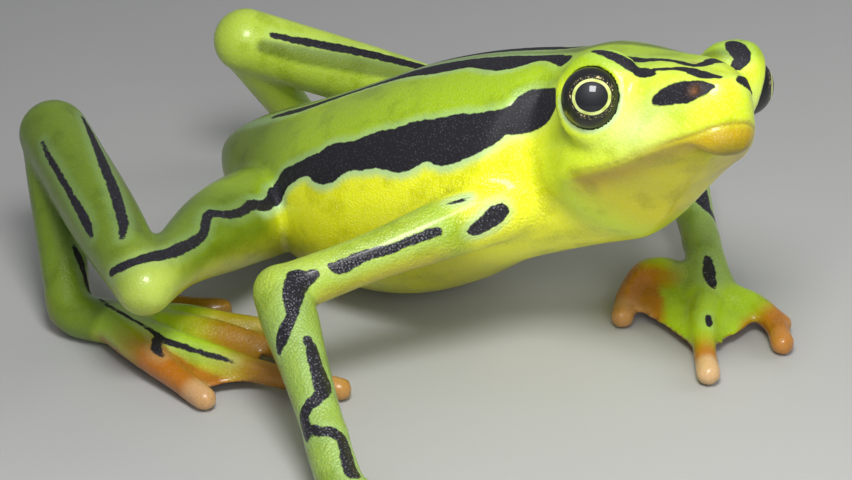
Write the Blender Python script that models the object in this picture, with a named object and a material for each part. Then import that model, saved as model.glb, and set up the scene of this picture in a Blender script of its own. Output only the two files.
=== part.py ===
"""Elegant stubfoot toad, life size, at rest with its front raised and its head turned to its right.

Sizes are in millimetres until the meshes are written, in metres. +X is forward along the trunk,
+Y is the animal's left, +Z is up, and the wrists, soles and toes rest on the plane z = 0.
Trunk and head are skins drawn over three rails: the middle of the back, the middle of the belly
and the widest line of each side. Limbs are tapered tubes with round ends, parted by flat faces
at the joints, and every node keeps a thin gap from the next.
"""

import math

import bmesh
import bpy
import numpy as np
from mathutils import Matrix, Vector

# Driving sizes

MM = 0.001
GAP = 0.30                      # left between touching nodes
WELD = 0.002 * MM               # points closer than this are one
AROUND_TRUNK = 30               # points round a ring of the trunk or the head
AROUND_LIMB = 12
AROUND_TOE = 8

HIP_HEIGHT = 4.73               # middle of the pelvis above the ground
HIP_X = -15.0
TRUNK_PITCH = 14.9              # degrees by which the trunk's front is raised
HIP_SPREAD = 2.7                # half the distance between the hip joints
HIP_DROP = 1.4                  # hip joints below the middle of the pelvis
SHOULDER_REACH = 16.5           # from the hips to the shoulders along the trunk
SHOULDER_SPREAD = 4.2
SHOULDER_DROP = 1.0
NECK_REACH = 20.0
NECK_RISE = 1.0

HEAD_YAW = -25.0                # the head is turned to the animal's right
HEAD_PITCH = 25.3
HEAD_ROLL = -5.8
NECK_TO_EYES = Vector((5.0, -0.10, 1.1))

EYE_RADIUS = 1.36
EYE_SPREAD = 3.79               # eye centres from the head's middle
LID_RADIUS = 2.08
LID_SPREAD = 3.42
LID_OPENING = {-1.0: 4.15, 1.0: 4.5}   # how far from the head's middle the right and left rims lie
LID_WAY = {-1.0: (0.75, -1.0, 0.05), 1.0: (0.35, 1.0, -0.4)}   # where the right and left rims face
NOSTRIL_RADIUS = 0.22
MOUTH_GROOVE = 0.22

# Where each joint of the limbs is, in millimetres, read from the photograph or mirrored
# and completed where it is hidden.

ELBOW_RIGHT = Vector((-4.3, -13.9, 5.7))
WRIST_RIGHT = Vector((3.6, -19.55, 1.25))
ELBOW_LEFT = Vector((-1.0, 14.0, 4.1))
WRIST_LEFT = Vector((5.4, 6.45, 1.9))
KNEE_RIGHT = Vector((-10.3, -16.3, 5.2))
HEEL_RIGHT = Vector((-23.5, -8.9, 7.2))
ANKLE_RIGHT = Vector((-17.7, -14.1, 1.25))
KNEE_LEFT = Vector((-13.7, 15.4, 2.95))
HEEL_LEFT = Vector((-22.9, 4.9, 8.45))
ANKLE_LEFT = Vector((-22.1, 9.7, 1.25))
THIGH_BOW = Vector((-0.2, 0.0, 0.35))   # the thighs rise a little between hip and knee
TARSUS_BOW = Vector((-0.3, 0.0, 0.0))

# Fingers and toes from the innermost to the outermost: x and y of the tip on the ground, how far
# the digit bows to its left, height of its knuckle, how thick it is, and the webbed share of it

FINGERS_RIGHT = [
    (7.4, -18.75, 0.4, 0.95, 1.3, 0.8),
    (9.95, -20.35, 0.2, 1.0, 1.15, 0.72),
    (10.5, -22.9, -0.2, 1.2, 1.15, 0.45),
    (8.2, -23.9, -0.5, 1.1, 1.0, 0.5),
]
FINGERS_LEFT = [
    (3.4, 1.9, -2.6, 1.35, 1.35, 0.85),
    (9.8, -0.8, -0.3, 1.0, 1.2, 0.75),
    (11.0, 3.9, 1.0, 0.9, 1.15, 0.4),
    (9.95, 5.6, 0.7, 0.75, 1.0, 0.5),
]
TOES_RIGHT = [
    (-12.8, -8.8, 0.4, 1.0, 1.15, 0.85),
    (-9.4, -9.2, 0.4, 1.0, 1.1, 0.85),
    (-6.0, -10.3, 0.2, 1.05, 1.2, 0.75),
    (-2.8, -11.9, -1.1, 1.1, 1.3, 0.74),
    (-7.1, -16.2, -0.3, 1.1, 1.5, 0.97),
]
TOES_LEFT = [
    (-15.9, 7.6, -0.4, 1.0, 1.15, 0.85),
    (-12.6, 8.8, -0.4, 1.0, 1.1, 0.85),
    (-9.8, 10.8, -0.2, 1.05, 1.2, 0.75),
    (-8.0, 13.9, 0.6, 1.1, 1.3, 0.74),
    (-13.6, 15.8, 0.3, 1.1, 1.5, 0.97),
]

# Trunk from vent to shoulders: x, half width, then heights of side line, back and belly

TRUNK_STATIONS = [
    (-19.5, 1.1, 4.4, 5.4, 3.3),
    (-18.2, 2.3, 4.3, 6.4, 2.4),
    (-16.2, 3.4, 4.3, 7.4, 1.8),
    (-14.0, 4.4, 4.3, 8.3, 1.2),
    (-11.6, 5.5, 4.4, 9.4, 0.8),
    (-9.2, 6.2, 4.7, 10.55, 0.5),
    (-6.8, 6.5, 5.2, 11.7, 0.6),
    (-4.4, 6.5, 6.0, 12.6, 1.2),
    (-2.0, 6.2, 6.9, 13.3, 2.4),
    (0.4, 5.7, 8.0, 13.85, 4.0),
]
VENT = Vector((-20.2, 0.0, 4.3))

# Head, in its own axes from the middle between the eyes. Each station holds the side line
# (x, half width, z), the top line (x, z), the underside line (x, z) and the fullness of the
# upper and the lower curve. The side line is the line of the mouth in front of the jaw corner.

HEAD_STATIONS = [
    (-5.0, 4.5, -2.4, -5.0, 2.9, -5.0, -6.1, 2.0, 1.7),
    (-3.7, 4.32, -3.0, -3.7, 2.82, -3.4, -6.02, 2.0, 1.4),
    (-2.4, 4.1, -3.1, -2.4, 2.5, -2.0, -5.55, 2.2, 1.2),
    (-1.2, 3.72, -3.02, -1.2, 2.12, -0.8, -4.72, 2.4, 1.15),
    (0.0, 3.25, -2.96, 0.0, 1.76, 0.3, -4.15, 2.6, 1.15),
    (1.1, 2.82, -2.8, 1.1, 1.44, 1.2, -3.6, 2.7, 1.2),
    (2.1, 2.42, -2.55, 2.2, 1.07, 2.1, -3.25, 2.8, 1.4),
    (2.9, 2.08, -2.36, 3.1, 0.7, 2.8, -3.05, 2.9, 1.6),
    (3.5, 1.76, -2.27, 3.85, 0.36, 3.4, -2.98, 3.0, 1.8),
    (3.98, 1.48, -2.2, 4.4, 0.1, 3.98, -3.2, 3.0, 2.2),
    (4.33, 1.18, -2.1, 4.8, -0.15, 4.44, -3.22, 2.8, 2.5),
    (4.6, 0.84, -2.0, 5.02, -0.55, 4.76, -3.1, 2.5, 2.5),
    (4.76, 0.42, -1.96, 4.98, -1.15, 4.9, -2.68, 2.2, 2.3),
]
LIP_FRONT = Vector((4.83, 0.0, -1.95))
JAW_CORNER_X = -2.0
NOSTRIL = Vector((4.07, 1.15, -0.42))

# Hands and feet, in millimetres above the ground and as half widths and half heights

TIP_HEIGHT = 0.52
PALM_HEIGHT = 0.85
PALM_WIDE = 1.55
PALM_HIGH = 0.92
DIGIT_WIDE = [0.62, 0.52, 0.56]
DIGIT_HIGH = [0.60, 0.50, 0.54]
WEB_LOW = -0.10                 # the web is cut level with the ground
WEB_HIGH = 0.70
WEB_NOTCH = 0.80                # how far the web draws back between two digits

# Colours and surface of each kind of part

LOOKS = {
    "skin_lime": ((0.42, 0.55, 0.07), 0.45),
    "skin_yellow": ((0.70, 0.66, 0.06), 0.45),
    "skin_orange": ((0.50, 0.22, 0.04), 0.50),
    "eye_black": ((0.02, 0.02, 0.025), 0.15),
}


def clear_scene():
    """Removes every object that the scene opens with."""
    for item in list(bpy.data.objects):
        bpy.data.objects.remove(item, do_unlink=True)


def new_collection(name):
    """Makes a collection and links it under the scene."""
    collection = bpy.data.collections.new(name)
    bpy.context.scene.collection.children.link(collection)
    return collection


def skin_material(name):
    """Makes the Principled material of one kind of part."""
    colour, roughness = LOOKS[name]
    material = bpy.data.materials.new(name)
    material.use_nodes = True
    shader = material.node_tree.nodes["Principled BSDF"]
    shader.inputs["Base Color"].default_value = (*colour, 1.0)
    shader.inputs["Roughness"].default_value = roughness
    shader.inputs["Metallic"].default_value = 0.0
    return material


def turn(yaw, pitch, roll):
    """Rotation that rolls about X, lifts the front by the pitch and then turns about Z, in degrees."""
    yaw_part = Matrix.Rotation(math.radians(yaw), 3, "Z")
    pitch_part = Matrix.Rotation(math.radians(-pitch), 3, "Y")
    roll_part = Matrix.Rotation(math.radians(roll), 3, "X")
    return yaw_part @ pitch_part @ roll_part


def on_trunk(along, side, up):
    """Place of a point given along, beside and above the trunk's axis from the middle of the hips."""
    hips = Vector((HIP_X, 0.0, HIP_HEIGHT))
    return hips + turn(0.0, TRUNK_PITCH, 0.0) @ Vector((along, side, up))


HEAD_TURN = turn(HEAD_YAW, HEAD_PITCH, HEAD_ROLL)
NECK = on_trunk(NECK_REACH, 0.0, NECK_RISE)
HEAD_MIDDLE = NECK + HEAD_TURN @ NECK_TO_EYES


def on_head(point):
    """Place of a point given in the head's own axes."""
    return HEAD_MIDDLE + HEAD_TURN @ Vector(point)


def mesh_object(name, points, faces, collection, material):
    """Makes a closed mesh object from points in millimetres, with its faces turned outward."""
    work = bmesh.new()
    verts = [work.verts.new(Vector(point) * MM) for point in points]
    for face in faces:
        work.faces.new([verts[index] for index in face])
    bmesh.ops.remove_doubles(work, verts=work.verts, dist=0.01 * MM)
    bmesh.ops.triangulate(work, faces=work.faces)
    bmesh.ops.recalc_face_normals(work, faces=work.faces)
    mesh = bpy.data.meshes.new(name)
    work.to_mesh(mesh)
    work.free()
    item = bpy.data.objects.new(name, mesh)
    collection.objects.link(item)
    if material is not None:
        mesh.materials.append(material)
    return item


def skin_over_rings(rings):
    """Points and faces of a closed tube through the rings, ended by a point or a flat ring each."""
    points = [point for ring in rings for point in ring]
    starts = np.cumsum([0] + [len(ring) for ring in rings])
    faces = []
    for index in range(len(rings) - 1):
        here, there = starts[index], starts[index + 1]
        size, next_size = len(rings[index]), len(rings[index + 1])
        count = max(size, next_size)
        for step in range(count):
            after = (step + 1) % count
            if size == 1:
                faces.append((here, there + step, there + after))
            elif next_size == 1:
                faces.append((here + after, here + step, there))
            else:
                faces.append((here + after, here + step, there + step))
                faces.append((here + after, there + step, there + after))
    for ring_index, start in ((0, starts[0]), (len(rings) - 1, starts[-2])):
        size = len(rings[ring_index])
        if size > 1:
            points.append(sum((Vector(point) for point in rings[ring_index]), Vector()) / size)
            middle = len(points) - 1
            for step in range(size):
                faces.append((middle, start + step, start + (step + 1) % size))
    return points, faces


def rail_ring(side, half_width, top, bottom, fullness_up, fullness_down, groove=0.0):
    """One ring over the rails, as two half ovals that meet on the side line.

    For an angle a round the ring, the sideways share is |cos a|^(2/fullness) and the share of the
    way to the top or bottom rail is |sin a|^(2/fullness). A groove presses the side line inward
    between two rows that stay out as lips.
    """
    half = AROUND_TRUNK // 2
    lip = 0.10
    angles = [lip] + [math.pi * step / (half - 1) for step in range(1, half - 1)] + [math.pi - lip]
    angles = [0.0] + angles + [math.pi] + [-angle for angle in reversed(angles)]
    ring = []
    for angle in angles:
        upper = angle >= 0.0
        rail = top if upper else bottom
        power = 2.0 / (fullness_up if upper else fullness_down)
        across = math.copysign(abs(math.cos(angle)) ** power, math.cos(angle))
        toward = abs(math.sin(angle)) ** power
        if abs(math.sin(angle)) < 1e-6:
            toward = 0.0
            across *= 1.0 - groove / max(half_width, 0.4)
        point = Vector((side[0], 0.0, side[1])).lerp(Vector((rail[0], 0.0, rail[1])), toward)
        point.y = -half_width * across
        ring.append(point)
    return ring


def trunk_rings():
    """Rings of the trunk: upright across the animal, then eased from the shoulders to the neck's tilt."""
    rings = [[VENT]]
    for x, half_width, side_z, top_z, bottom_z in TRUNK_STATIONS:
        rings.append(rail_ring((x, side_z), half_width, (x, top_z), (x, bottom_z), 2.15, 2.35))
    neck_ring = head_rings()[0]
    shoulder_ring = rings[-1]
    for share in (0.4, 0.75):
        rings.append([here.lerp(there, share) for here, there in zip(shoulder_ring, neck_ring)])
    rings.append(neck_ring)
    return rings


def head_rings():
    """Rings of the head from the neck to the lips, in place."""
    rings = []
    for station in HEAD_STATIONS:
        side_x, half_width, side_z, top_x, top_z, low_x, low_z, full_up, full_low = station
        depth = MOUTH_GROOVE if side_x > JAW_CORNER_X else 0.0
        side = (side_x, side_z)
        top = (top_x, top_z)
        low = (low_x, low_z)
        ring = rail_ring(side, half_width, top, low, full_up, full_low, depth)
        rings.append([on_head(point) for point in ring])
    rings.append([on_head(LIP_FRONT)])
    return rings


def oval_ring(middle, axis, wide, high, count):
    """Oval ring round an axis: wide is its half width, level with the ground, and high its half height."""
    forward = axis.normalized()
    level = Vector((0.0, 0.0, 1.0)).cross(forward)
    if level.length < 0.05:
        level = Vector((0.0, 1.0, 0.0))
    level.normalize()
    upright = forward.cross(level)
    ring = []
    for step in range(count):
        angle = 2.0 * math.pi * step / count
        ring.append(middle + level * wide * math.cos(angle) + upright * high * math.sin(angle))
    return ring


def limb_rings(path, wide, high, count, between=3):
    """Rings of a round-ended tube along a path, with radii eased from point to point.

    Each end is a dome: at the angle a the ring stands sin(a) of the radius beyond the end and its
    size falls as cos(a).
    """
    rings = []
    last = len(path) - 1
    start_axis = path[1] - path[0]
    end_axis = path[last] - path[last - 1]
    rings.append([path[0] - start_axis.normalized() * wide[0]])
    for angle in (60.0, 30.0):
        back, size = math.sin(math.radians(angle)), math.cos(math.radians(angle))
        middle = path[0] - start_axis.normalized() * wide[0] * back
        rings.append(oval_ring(middle, start_axis, wide[0] * size, high[0] * size, count))
    for index in range(last):
        before = path[index - 1] if index > 0 else path[index]
        after = path[index + 2] if index + 2 <= last else path[index + 1]
        tangent_in = (path[index + 1] - before) * (0.5 if index > 0 else 1.0)
        tangent_out = (after - path[index]) * (0.5 if index + 2 <= last else 1.0)
        steps = between + (1 if index == last - 1 else 0)
        for step in range(steps):
            t = step / between
            h1 = 2 * t ** 3 - 3 * t ** 2 + 1
            h2 = t ** 3 - 2 * t ** 2 + t
            h3 = -2 * t ** 3 + 3 * t ** 2
            h4 = t ** 3 - t ** 2
            middle = path[index] * h1 + tangent_in * h2 + path[index + 1] * h3 + tangent_out * h4
            axis = tangent_in.lerp(tangent_out, t)
            ease = t * t * (3.0 - 2.0 * t)
            across = wide[index] + (wide[index + 1] - wide[index]) * ease
            up = high[index] + (high[index + 1] - high[index]) * ease
            rings.append(oval_ring(middle, axis, across, up, count))
    for angle in (30.0, 60.0):
        out, size = math.sin(math.radians(angle)), math.cos(math.radians(angle))
        middle = path[last] + end_axis.normalized() * wide[last] * out
        rings.append(oval_ring(middle, end_axis, wide[last] * size, high[last] * size, count))
    rings.append([path[last] + end_axis.normalized() * wide[last]])
    return rings


def limb(name, path, wide, high, collection, material, count=AROUND_LIMB, between=3):
    """Makes one limb segment as a round-ended tube."""
    points, faces = skin_over_rings(limb_rings(path, wide, high, count, between))
    return mesh_object(name, points, faces, collection, material)


def cut_flat(item, place, away, sheet=0.0):
    """Cuts a node by a flat face, removes what lies on the away side and closes the cut."""
    work = bmesh.new()
    work.from_mesh(item.data)
    direction = away.normalized()
    spot = (place - direction * sheet) * MM
    whole = list(work.verts) + list(work.edges) + list(work.faces)
    bmesh.ops.bisect_plane(work, geom=whole, dist=1e-7, plane_co=spot, plane_no=direction, clear_outer=True)
    bmesh.ops.remove_doubles(work, verts=work.verts, dist=WELD)
    rim = [edge for edge in work.edges if edge.is_boundary]
    bmesh.ops.holes_fill(work, edges=rim, sides=0)
    bmesh.ops.triangulate(work, faces=[face for face in work.faces if len(face.verts) > 3])
    bmesh.ops.recalc_face_normals(work, faces=work.faces)
    work.to_mesh(item.data)
    work.free()


def part_at_joint(near, far, joint, near_way, far_way):
    """Parts two segments at their joint, on the plane that halves the angle between them."""
    normal = (near_way.normalized() - far_way.normalized()).normalized()
    cut_flat(near, joint, -normal, GAP / 2)
    cut_flat(far, joint, normal, GAP / 2)


def combine(item, others, operation):
    """Applies one exact Boolean of a node with the objects of a collection, and removes those."""
    modifier = item.modifiers.new("combine", "BOOLEAN")
    modifier.operation = operation
    modifier.solver = "EXACT"
    modifier.operand_type = "COLLECTION"
    modifier.collection = others
    bpy.context.view_layer.update()
    graph = bpy.context.evaluated_depsgraph_get()
    result = bpy.data.meshes.new_from_object(item.evaluated_get(graph))
    item.modifiers.clear()
    item.data = result
    for used in list(others.objects):
        bpy.data.objects.remove(used, do_unlink=True)
    keep_largest(item)


def keep_largest(item):
    """Welds a cut node and keeps its largest closed surface."""
    work = bmesh.new()
    work.from_mesh(item.data)
    bmesh.ops.remove_doubles(work, verts=work.verts, dist=WELD)
    bmesh.ops.triangulate(work, faces=[face for face in work.faces if len(face.verts) > 3])
    unseen = set(work.faces)
    pieces = []
    while unseen:
        stack = [unseen.pop()]
        piece = [stack[0]]
        while stack:
            for edge in stack.pop().edges:
                for face in edge.link_faces:
                    if face in unseen:
                        unseen.remove(face)
                        stack.append(face)
                        piece.append(face)
        pieces.append(piece)
    largest = max(pieces, key=len)
    dropped = [face for piece in pieces if piece is not largest for face in piece]
    bmesh.ops.delete(work, geom=dropped, context="FACES")
    bmesh.ops.recalc_face_normals(work, faces=work.faces)
    work.to_mesh(item.data)
    work.free()


def ball(name, middle, radius, collection, material, around=20, rows=12):
    """Makes a closed ball."""
    work = bmesh.new()
    place = Matrix.Translation(middle * MM)
    bmesh.ops.create_uvsphere(work, u_segments=around, v_segments=rows, radius=radius * MM, matrix=place)
    bmesh.ops.triangulate(work, faces=work.faces)
    mesh = bpy.data.meshes.new(name)
    work.to_mesh(mesh)
    work.free()
    item = bpy.data.objects.new(name, mesh)
    collection.objects.link(item)
    if material is not None:
        mesh.materials.append(material)
    return item


def plate(name, outline, low, high, collection):
    """Makes a flat plate between two heights from an outline of points, as a filled and extruded curve."""
    curve = bpy.data.curves.new(name, "CURVE")
    curve.dimensions = "2D"
    curve.fill_mode = "BOTH"
    curve.extrude = (high - low) / 2.0 * MM
    spline = curve.splines.new("POLY")
    spline.points.add(len(outline) - 1)
    for point, spot in zip(spline.points, outline):
        point.co = (spot.x * MM, spot.y * MM, 0.0, 1.0)
    spline.use_cyclic_u = True
    drawn = bpy.data.objects.new(name + "_outline", curve)
    drawn.location.z = (low + high) / 2.0 * MM
    collection.objects.link(drawn)
    bpy.context.view_layer.update()
    graph = bpy.context.evaluated_depsgraph_get()
    mesh = bpy.data.meshes.new_from_object(drawn.evaluated_get(graph))
    mesh.transform(drawn.matrix_world)
    bpy.data.objects.remove(drawn, do_unlink=True)
    work = bmesh.new()
    work.from_mesh(mesh)
    bmesh.ops.remove_doubles(work, verts=work.verts, dist=WELD)
    bmesh.ops.triangulate(work, faces=work.faces)
    bmesh.ops.recalc_face_normals(work, faces=work.faces)
    work.to_mesh(mesh)
    work.free()
    item = bpy.data.objects.new(name, mesh)
    collection.objects.link(item)
    return item


clear_scene()
toad = new_collection("elegant_stubfoot_toad")
cutters = new_collection("cutters")
LIME = skin_material("skin_lime")
YELLOW = skin_material("skin_yellow")
ORANGE = skin_material("skin_orange")
BLACK = skin_material("eye_black")

# Trunk and head, one skin parted at the neck by a flat gap

trunk_points, trunk_faces = skin_over_rings(trunk_rings())
torso = mesh_object("torso", trunk_points, trunk_faces, toad, LIME)
head_points, head_faces = skin_over_rings(head_rings())
head = mesh_object("head", head_points, head_faces, toad, YELLOW)
neck_way = HEAD_TURN @ Vector((1.0, 0.0, 0.0))
cut_flat(torso, on_head((-5.0, 0.0, 0.0)), neck_way, GAP)

# Lids, eyes and nostrils

for side in (-1.0, 1.0):
    lid = ball("lid", on_head((0.0, side * LID_SPREAD, 0.0)), LID_RADIUS, cutters, None, 24, 16)
    outward = HEAD_TURN @ Vector(LID_WAY[side])
    cut_flat(lid, on_head((0.0, side * LID_OPENING[side], 0.0)), outward)
combine(head, cutters, "UNION")
for side in (-1.0, 1.0):
    ball("socket", on_head((0.0, side * EYE_SPREAD, 0.0)), EYE_RADIUS + GAP, cutters, None)
    mouth_of_nostril = on_head((NOSTRIL.x, side * (NOSTRIL.y + 0.4), NOSTRIL.z + 0.1))
    floor_of_nostril = on_head((NOSTRIL.x - 0.1, side * (NOSTRIL.y - 0.45), NOSTRIL.z - 0.1))
    sizes = [NOSTRIL_RADIUS, NOSTRIL_RADIUS]
    limb("nostril", [floor_of_nostril, mouth_of_nostril], sizes, sizes, cutters, None, 8, 1)
combine(head, cutters, "DIFFERENCE")
for side, word in ((-1.0, "right"), (1.0, "left")):
    ball("eye_" + word, on_head((0.0, side * EYE_SPREAD, 0.0)), EYE_RADIUS, toad, BLACK)


def grown_copy(item, margin):
    """Copy of a node pushed outward along its normals, kept among the cutters."""
    copy = bpy.data.objects.new(item.name + "_room", item.data.copy())
    cutters.objects.link(copy)
    mesh = copy.data
    pushes = [vertex.normal * margin * MM for vertex in mesh.vertices]
    for vertex, push in zip(mesh.vertices, pushes):
        vertex.co += push
    return copy


# Arms and legs: thickness as half width and half height at each point of the path

HIPS = {"right": on_trunk(0.0, -HIP_SPREAD, -HIP_DROP), "left": on_trunk(0.0, HIP_SPREAD, -HIP_DROP)}
SHOULDERS = {
    "right": on_trunk(SHOULDER_REACH, -SHOULDER_SPREAD, -SHOULDER_DROP),
    "left": on_trunk(SHOULDER_REACH, SHOULDER_SPREAD, -SHOULDER_DROP),
}
ELBOWS = {"right": ELBOW_RIGHT, "left": ELBOW_LEFT}
WRISTS = {"right": WRIST_RIGHT, "left": WRIST_LEFT}
KNEES = {"right": KNEE_RIGHT, "left": KNEE_LEFT}
HEELS = {"right": HEEL_RIGHT, "left": HEEL_LEFT}
ANKLES = {"right": ANKLE_RIGHT, "left": ANKLE_LEFT}
FINGERS = {"right": FINGERS_RIGHT, "left": FINGERS_LEFT}
TOES = {"right": TOES_RIGHT, "left": TOES_LEFT}


def along_digit(start, knuckle, tip, share):
    """Place at a share of the way along a digit that bends at its knuckle half way."""
    if share < 0.5:
        return start.lerp(knuckle, share * 2.0)
    return knuckle.lerp(tip, share * 2.0 - 1.0)


def web_plate(digits, shares, root):
    """Makes the web between the digits, a fan from the root that draws back between each pair."""
    outline = [root]
    for index, (start, knuckle, tip) in enumerate(digits):
        outline.append(along_digit(start, knuckle, tip, shares[index]))
        if index + 1 < len(digits):
            here = along_digit(start, knuckle, tip, shares[index] * WEB_NOTCH)
            there = along_digit(*digits[index + 1], shares[index + 1] * WEB_NOTCH)
            outline.append((here + there) / 2.0)
    plate("web", outline, WEB_LOW, WEB_HIGH, cutters)


def paw(name, root, root_from, tips, palm_reach, root_radius):
    """Makes a hand or a foot: a root, one tube to each tip and a web, fused and flattened on the ground."""
    spots = [Vector((x, y, TIP_HEIGHT)) for x, y, bow, height, thick, share in tips]
    centre = sum(spots, Vector()) / len(spots)
    palm = root.lerp(centre, palm_reach)
    palm.z = PALM_HEIGHT
    base = limb(name, [root_from.lerp(root, 0.75), root, palm], [root_radius, root_radius, PALM_WIDE],
                [root_radius, root_radius, PALM_HIGH], toad, ORANGE, AROUND_LIMB, 2)
    digits = []
    for spot, (x, y, bow, height, thick, share) in zip(spots, tips):
        start = root.lerp(palm, 0.6)
        way = (spot - start).normalized()
        knuckle = start.lerp(spot, 0.5) + Vector((-way.y, way.x, 0.0)) * bow
        knuckle.z = height
        digits.append((start, knuckle, spot))
        wide = [DIGIT_WIDE[0] * thick, DIGIT_WIDE[1] * thick, DIGIT_WIDE[2]]
        high = [DIGIT_HIGH[0] * thick, DIGIT_HIGH[1] * thick, DIGIT_HIGH[2]]
        limb("digit", [start, knuckle, spot], wide, high, cutters, None, AROUND_TOE, 2)
    web_plate(digits, [row[5] for row in tips], root.lerp(palm, 0.2))
    combine(base, cutters, "UNION")
    cut_flat(base, Vector((0.0, 0.0, 0.0)), Vector((0.0, 0.0, -1.0)))
    return base


for side in ("right", "left"):
    shoulder, elbow, wrist = SHOULDERS[side], ELBOWS[side], WRISTS[side]
    hip, knee, heel, ankle = HIPS[side], KNEES[side], HEELS[side], ANKLES[side]
    upper_arm = limb("upper_arm_" + side, [shoulder, shoulder.lerp(elbow, 0.55), elbow],
                     [1.45, 1.10, 1.15], [1.65, 1.15, 1.15], toad, LIME)
    forearm = limb("forearm_" + side, [elbow, elbow.lerp(wrist, 0.45), wrist],
                   [1.25, 1.04, 0.97], [1.25, 1.04, 0.97], toad, LIME)
    hand = paw("hand_" + side, wrist, elbow, FINGERS[side], 0.35, 0.97)
    thigh_middle = hip.lerp(knee, 0.5) + THIGH_BOW
    thigh = limb("thigh_" + side, [hip, thigh_middle, knee],
                 [2.45, 2.00, 1.28], [2.45, 2.00, 1.26], toad, LIME)
    shank = limb("shank_" + side, [knee, knee.lerp(heel, 0.45), heel],
                 [1.30, 1.68, 1.75], [1.30, 1.68, 1.75], toad, LIME)
    tarsus_middle = heel.lerp(ankle, 0.5) + TARSUS_BOW
    tarsus = limb("tarsus_" + side, [heel, tarsus_middle, ankle],
                  [1.65, 1.25, 1.10], [1.65, 1.25, 1.10], toad, LIME)
    foot = paw("foot_" + side, ankle, heel, TOES[side], 0.30, 1.08)
    part_at_joint(upper_arm, forearm, elbow, shoulder - elbow, wrist - elbow)
    part_at_joint(thigh, shank, knee, hip - knee, heel - knee)
    part_at_joint(shank, tarsus, heel, knee - heel, ankle - heel)
    wrist_way = wrist - elbow
    ankle_way = ankle - heel
    paw_joints = ((forearm, hand, wrist, wrist_way), (tarsus, foot, ankle, ankle_way))
    for segment, paw_node, joint, way in paw_joints:
        place = joint - way.normalized() * 0.4
        cut_flat(segment, place, way, GAP / 2)
        cut_flat(paw_node, place, -way, GAP / 2)
        keep_largest(paw_node)
    for root_node in (upper_arm, thigh):
        grown_copy(torso, GAP)
        combine(root_node, cutters, "DIFFERENCE")


def stand_on_origin(items):
    """Moves all nodes so that the bottom centre of their common box lies at the origin."""
    corners = np.array([vertex.co[:] for item in items for vertex in item.data.vertices])
    low, high = corners.min(axis=0), corners.max(axis=0)
    shift = Vector((-(low[0] + high[0]) / 2, -(low[1] + high[1]) / 2, -low[2]))
    for item in items:
        item.data.transform(Matrix.Translation(shift))
    return shift


SHIFT = stand_on_origin(list(toad.objects))
print("the body is moved by", [round(value / MM, 3) for value in SHIFT], "mm to stand on the origin")
for node in toad.objects:
    node.data.shade_smooth()
    node.data.set_sharp_from_angle(angle=math.radians(50.0))
bpy.data.collections.remove(cutters)
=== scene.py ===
import bmesh
import bpy
import numpy as np
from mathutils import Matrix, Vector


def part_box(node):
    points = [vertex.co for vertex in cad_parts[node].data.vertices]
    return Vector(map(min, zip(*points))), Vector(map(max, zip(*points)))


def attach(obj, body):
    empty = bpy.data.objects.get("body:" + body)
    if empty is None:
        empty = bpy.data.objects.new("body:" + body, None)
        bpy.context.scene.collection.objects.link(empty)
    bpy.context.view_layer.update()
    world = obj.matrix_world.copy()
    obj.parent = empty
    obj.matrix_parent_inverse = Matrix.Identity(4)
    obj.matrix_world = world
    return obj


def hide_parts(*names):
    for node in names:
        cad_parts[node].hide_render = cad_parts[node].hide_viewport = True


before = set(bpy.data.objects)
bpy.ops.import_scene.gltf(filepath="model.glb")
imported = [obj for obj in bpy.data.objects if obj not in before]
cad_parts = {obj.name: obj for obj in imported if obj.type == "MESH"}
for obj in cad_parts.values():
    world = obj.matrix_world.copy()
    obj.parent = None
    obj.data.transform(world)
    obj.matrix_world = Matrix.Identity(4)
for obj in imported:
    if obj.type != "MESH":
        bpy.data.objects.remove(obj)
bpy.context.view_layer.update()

# Trunk and head. The flesh from the vent to the lips is one smooth surface over three rails: the
# middle of the back, the middle of the belly and the widest line of each side. Sizes here and in
# the sections below are in millimetres, with the animal facing +X, and become metres at the end.

MM = 0.001
HIPS_MIDDLE = np.array([-15.0, 0.0, 4.73])
TRUNK_PITCH = 14.9
HEAD_YAW, HEAD_PITCH, HEAD_ROLL = -25.0, 25.3, -5.8
NECK_TO_EYES = np.array([5.0, -0.10, 1.1])
EYE_SPREAD = 3.79
EYE_RADIUS = 1.36
VENT = np.array([-20.2, 0.0, 4.3])

# x, half width, heights of side line, back and belly
TRUNK_STATIONS = np.array([
    (-19.5, 1.1, 4.4, 5.4, 3.3),
    (-18.2, 2.3, 4.3, 6.4, 2.4),
    (-16.2, 3.4, 4.3, 7.4, 1.8),
    (-14.0, 4.4, 4.3, 8.3, 1.2),
    (-11.6, 5.5, 4.4, 9.4, 0.8),
    (-9.2, 6.2, 4.7, 10.55, 0.5),
    (-6.8, 6.5, 5.2, 11.7, 0.6),
    (-4.4, 6.5, 6.0, 12.6, 1.2),
    (-2.0, 6.2, 6.9, 13.3, 2.4),
    (0.4, 5.7, 8.0, 13.85, 4.0),
])

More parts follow.
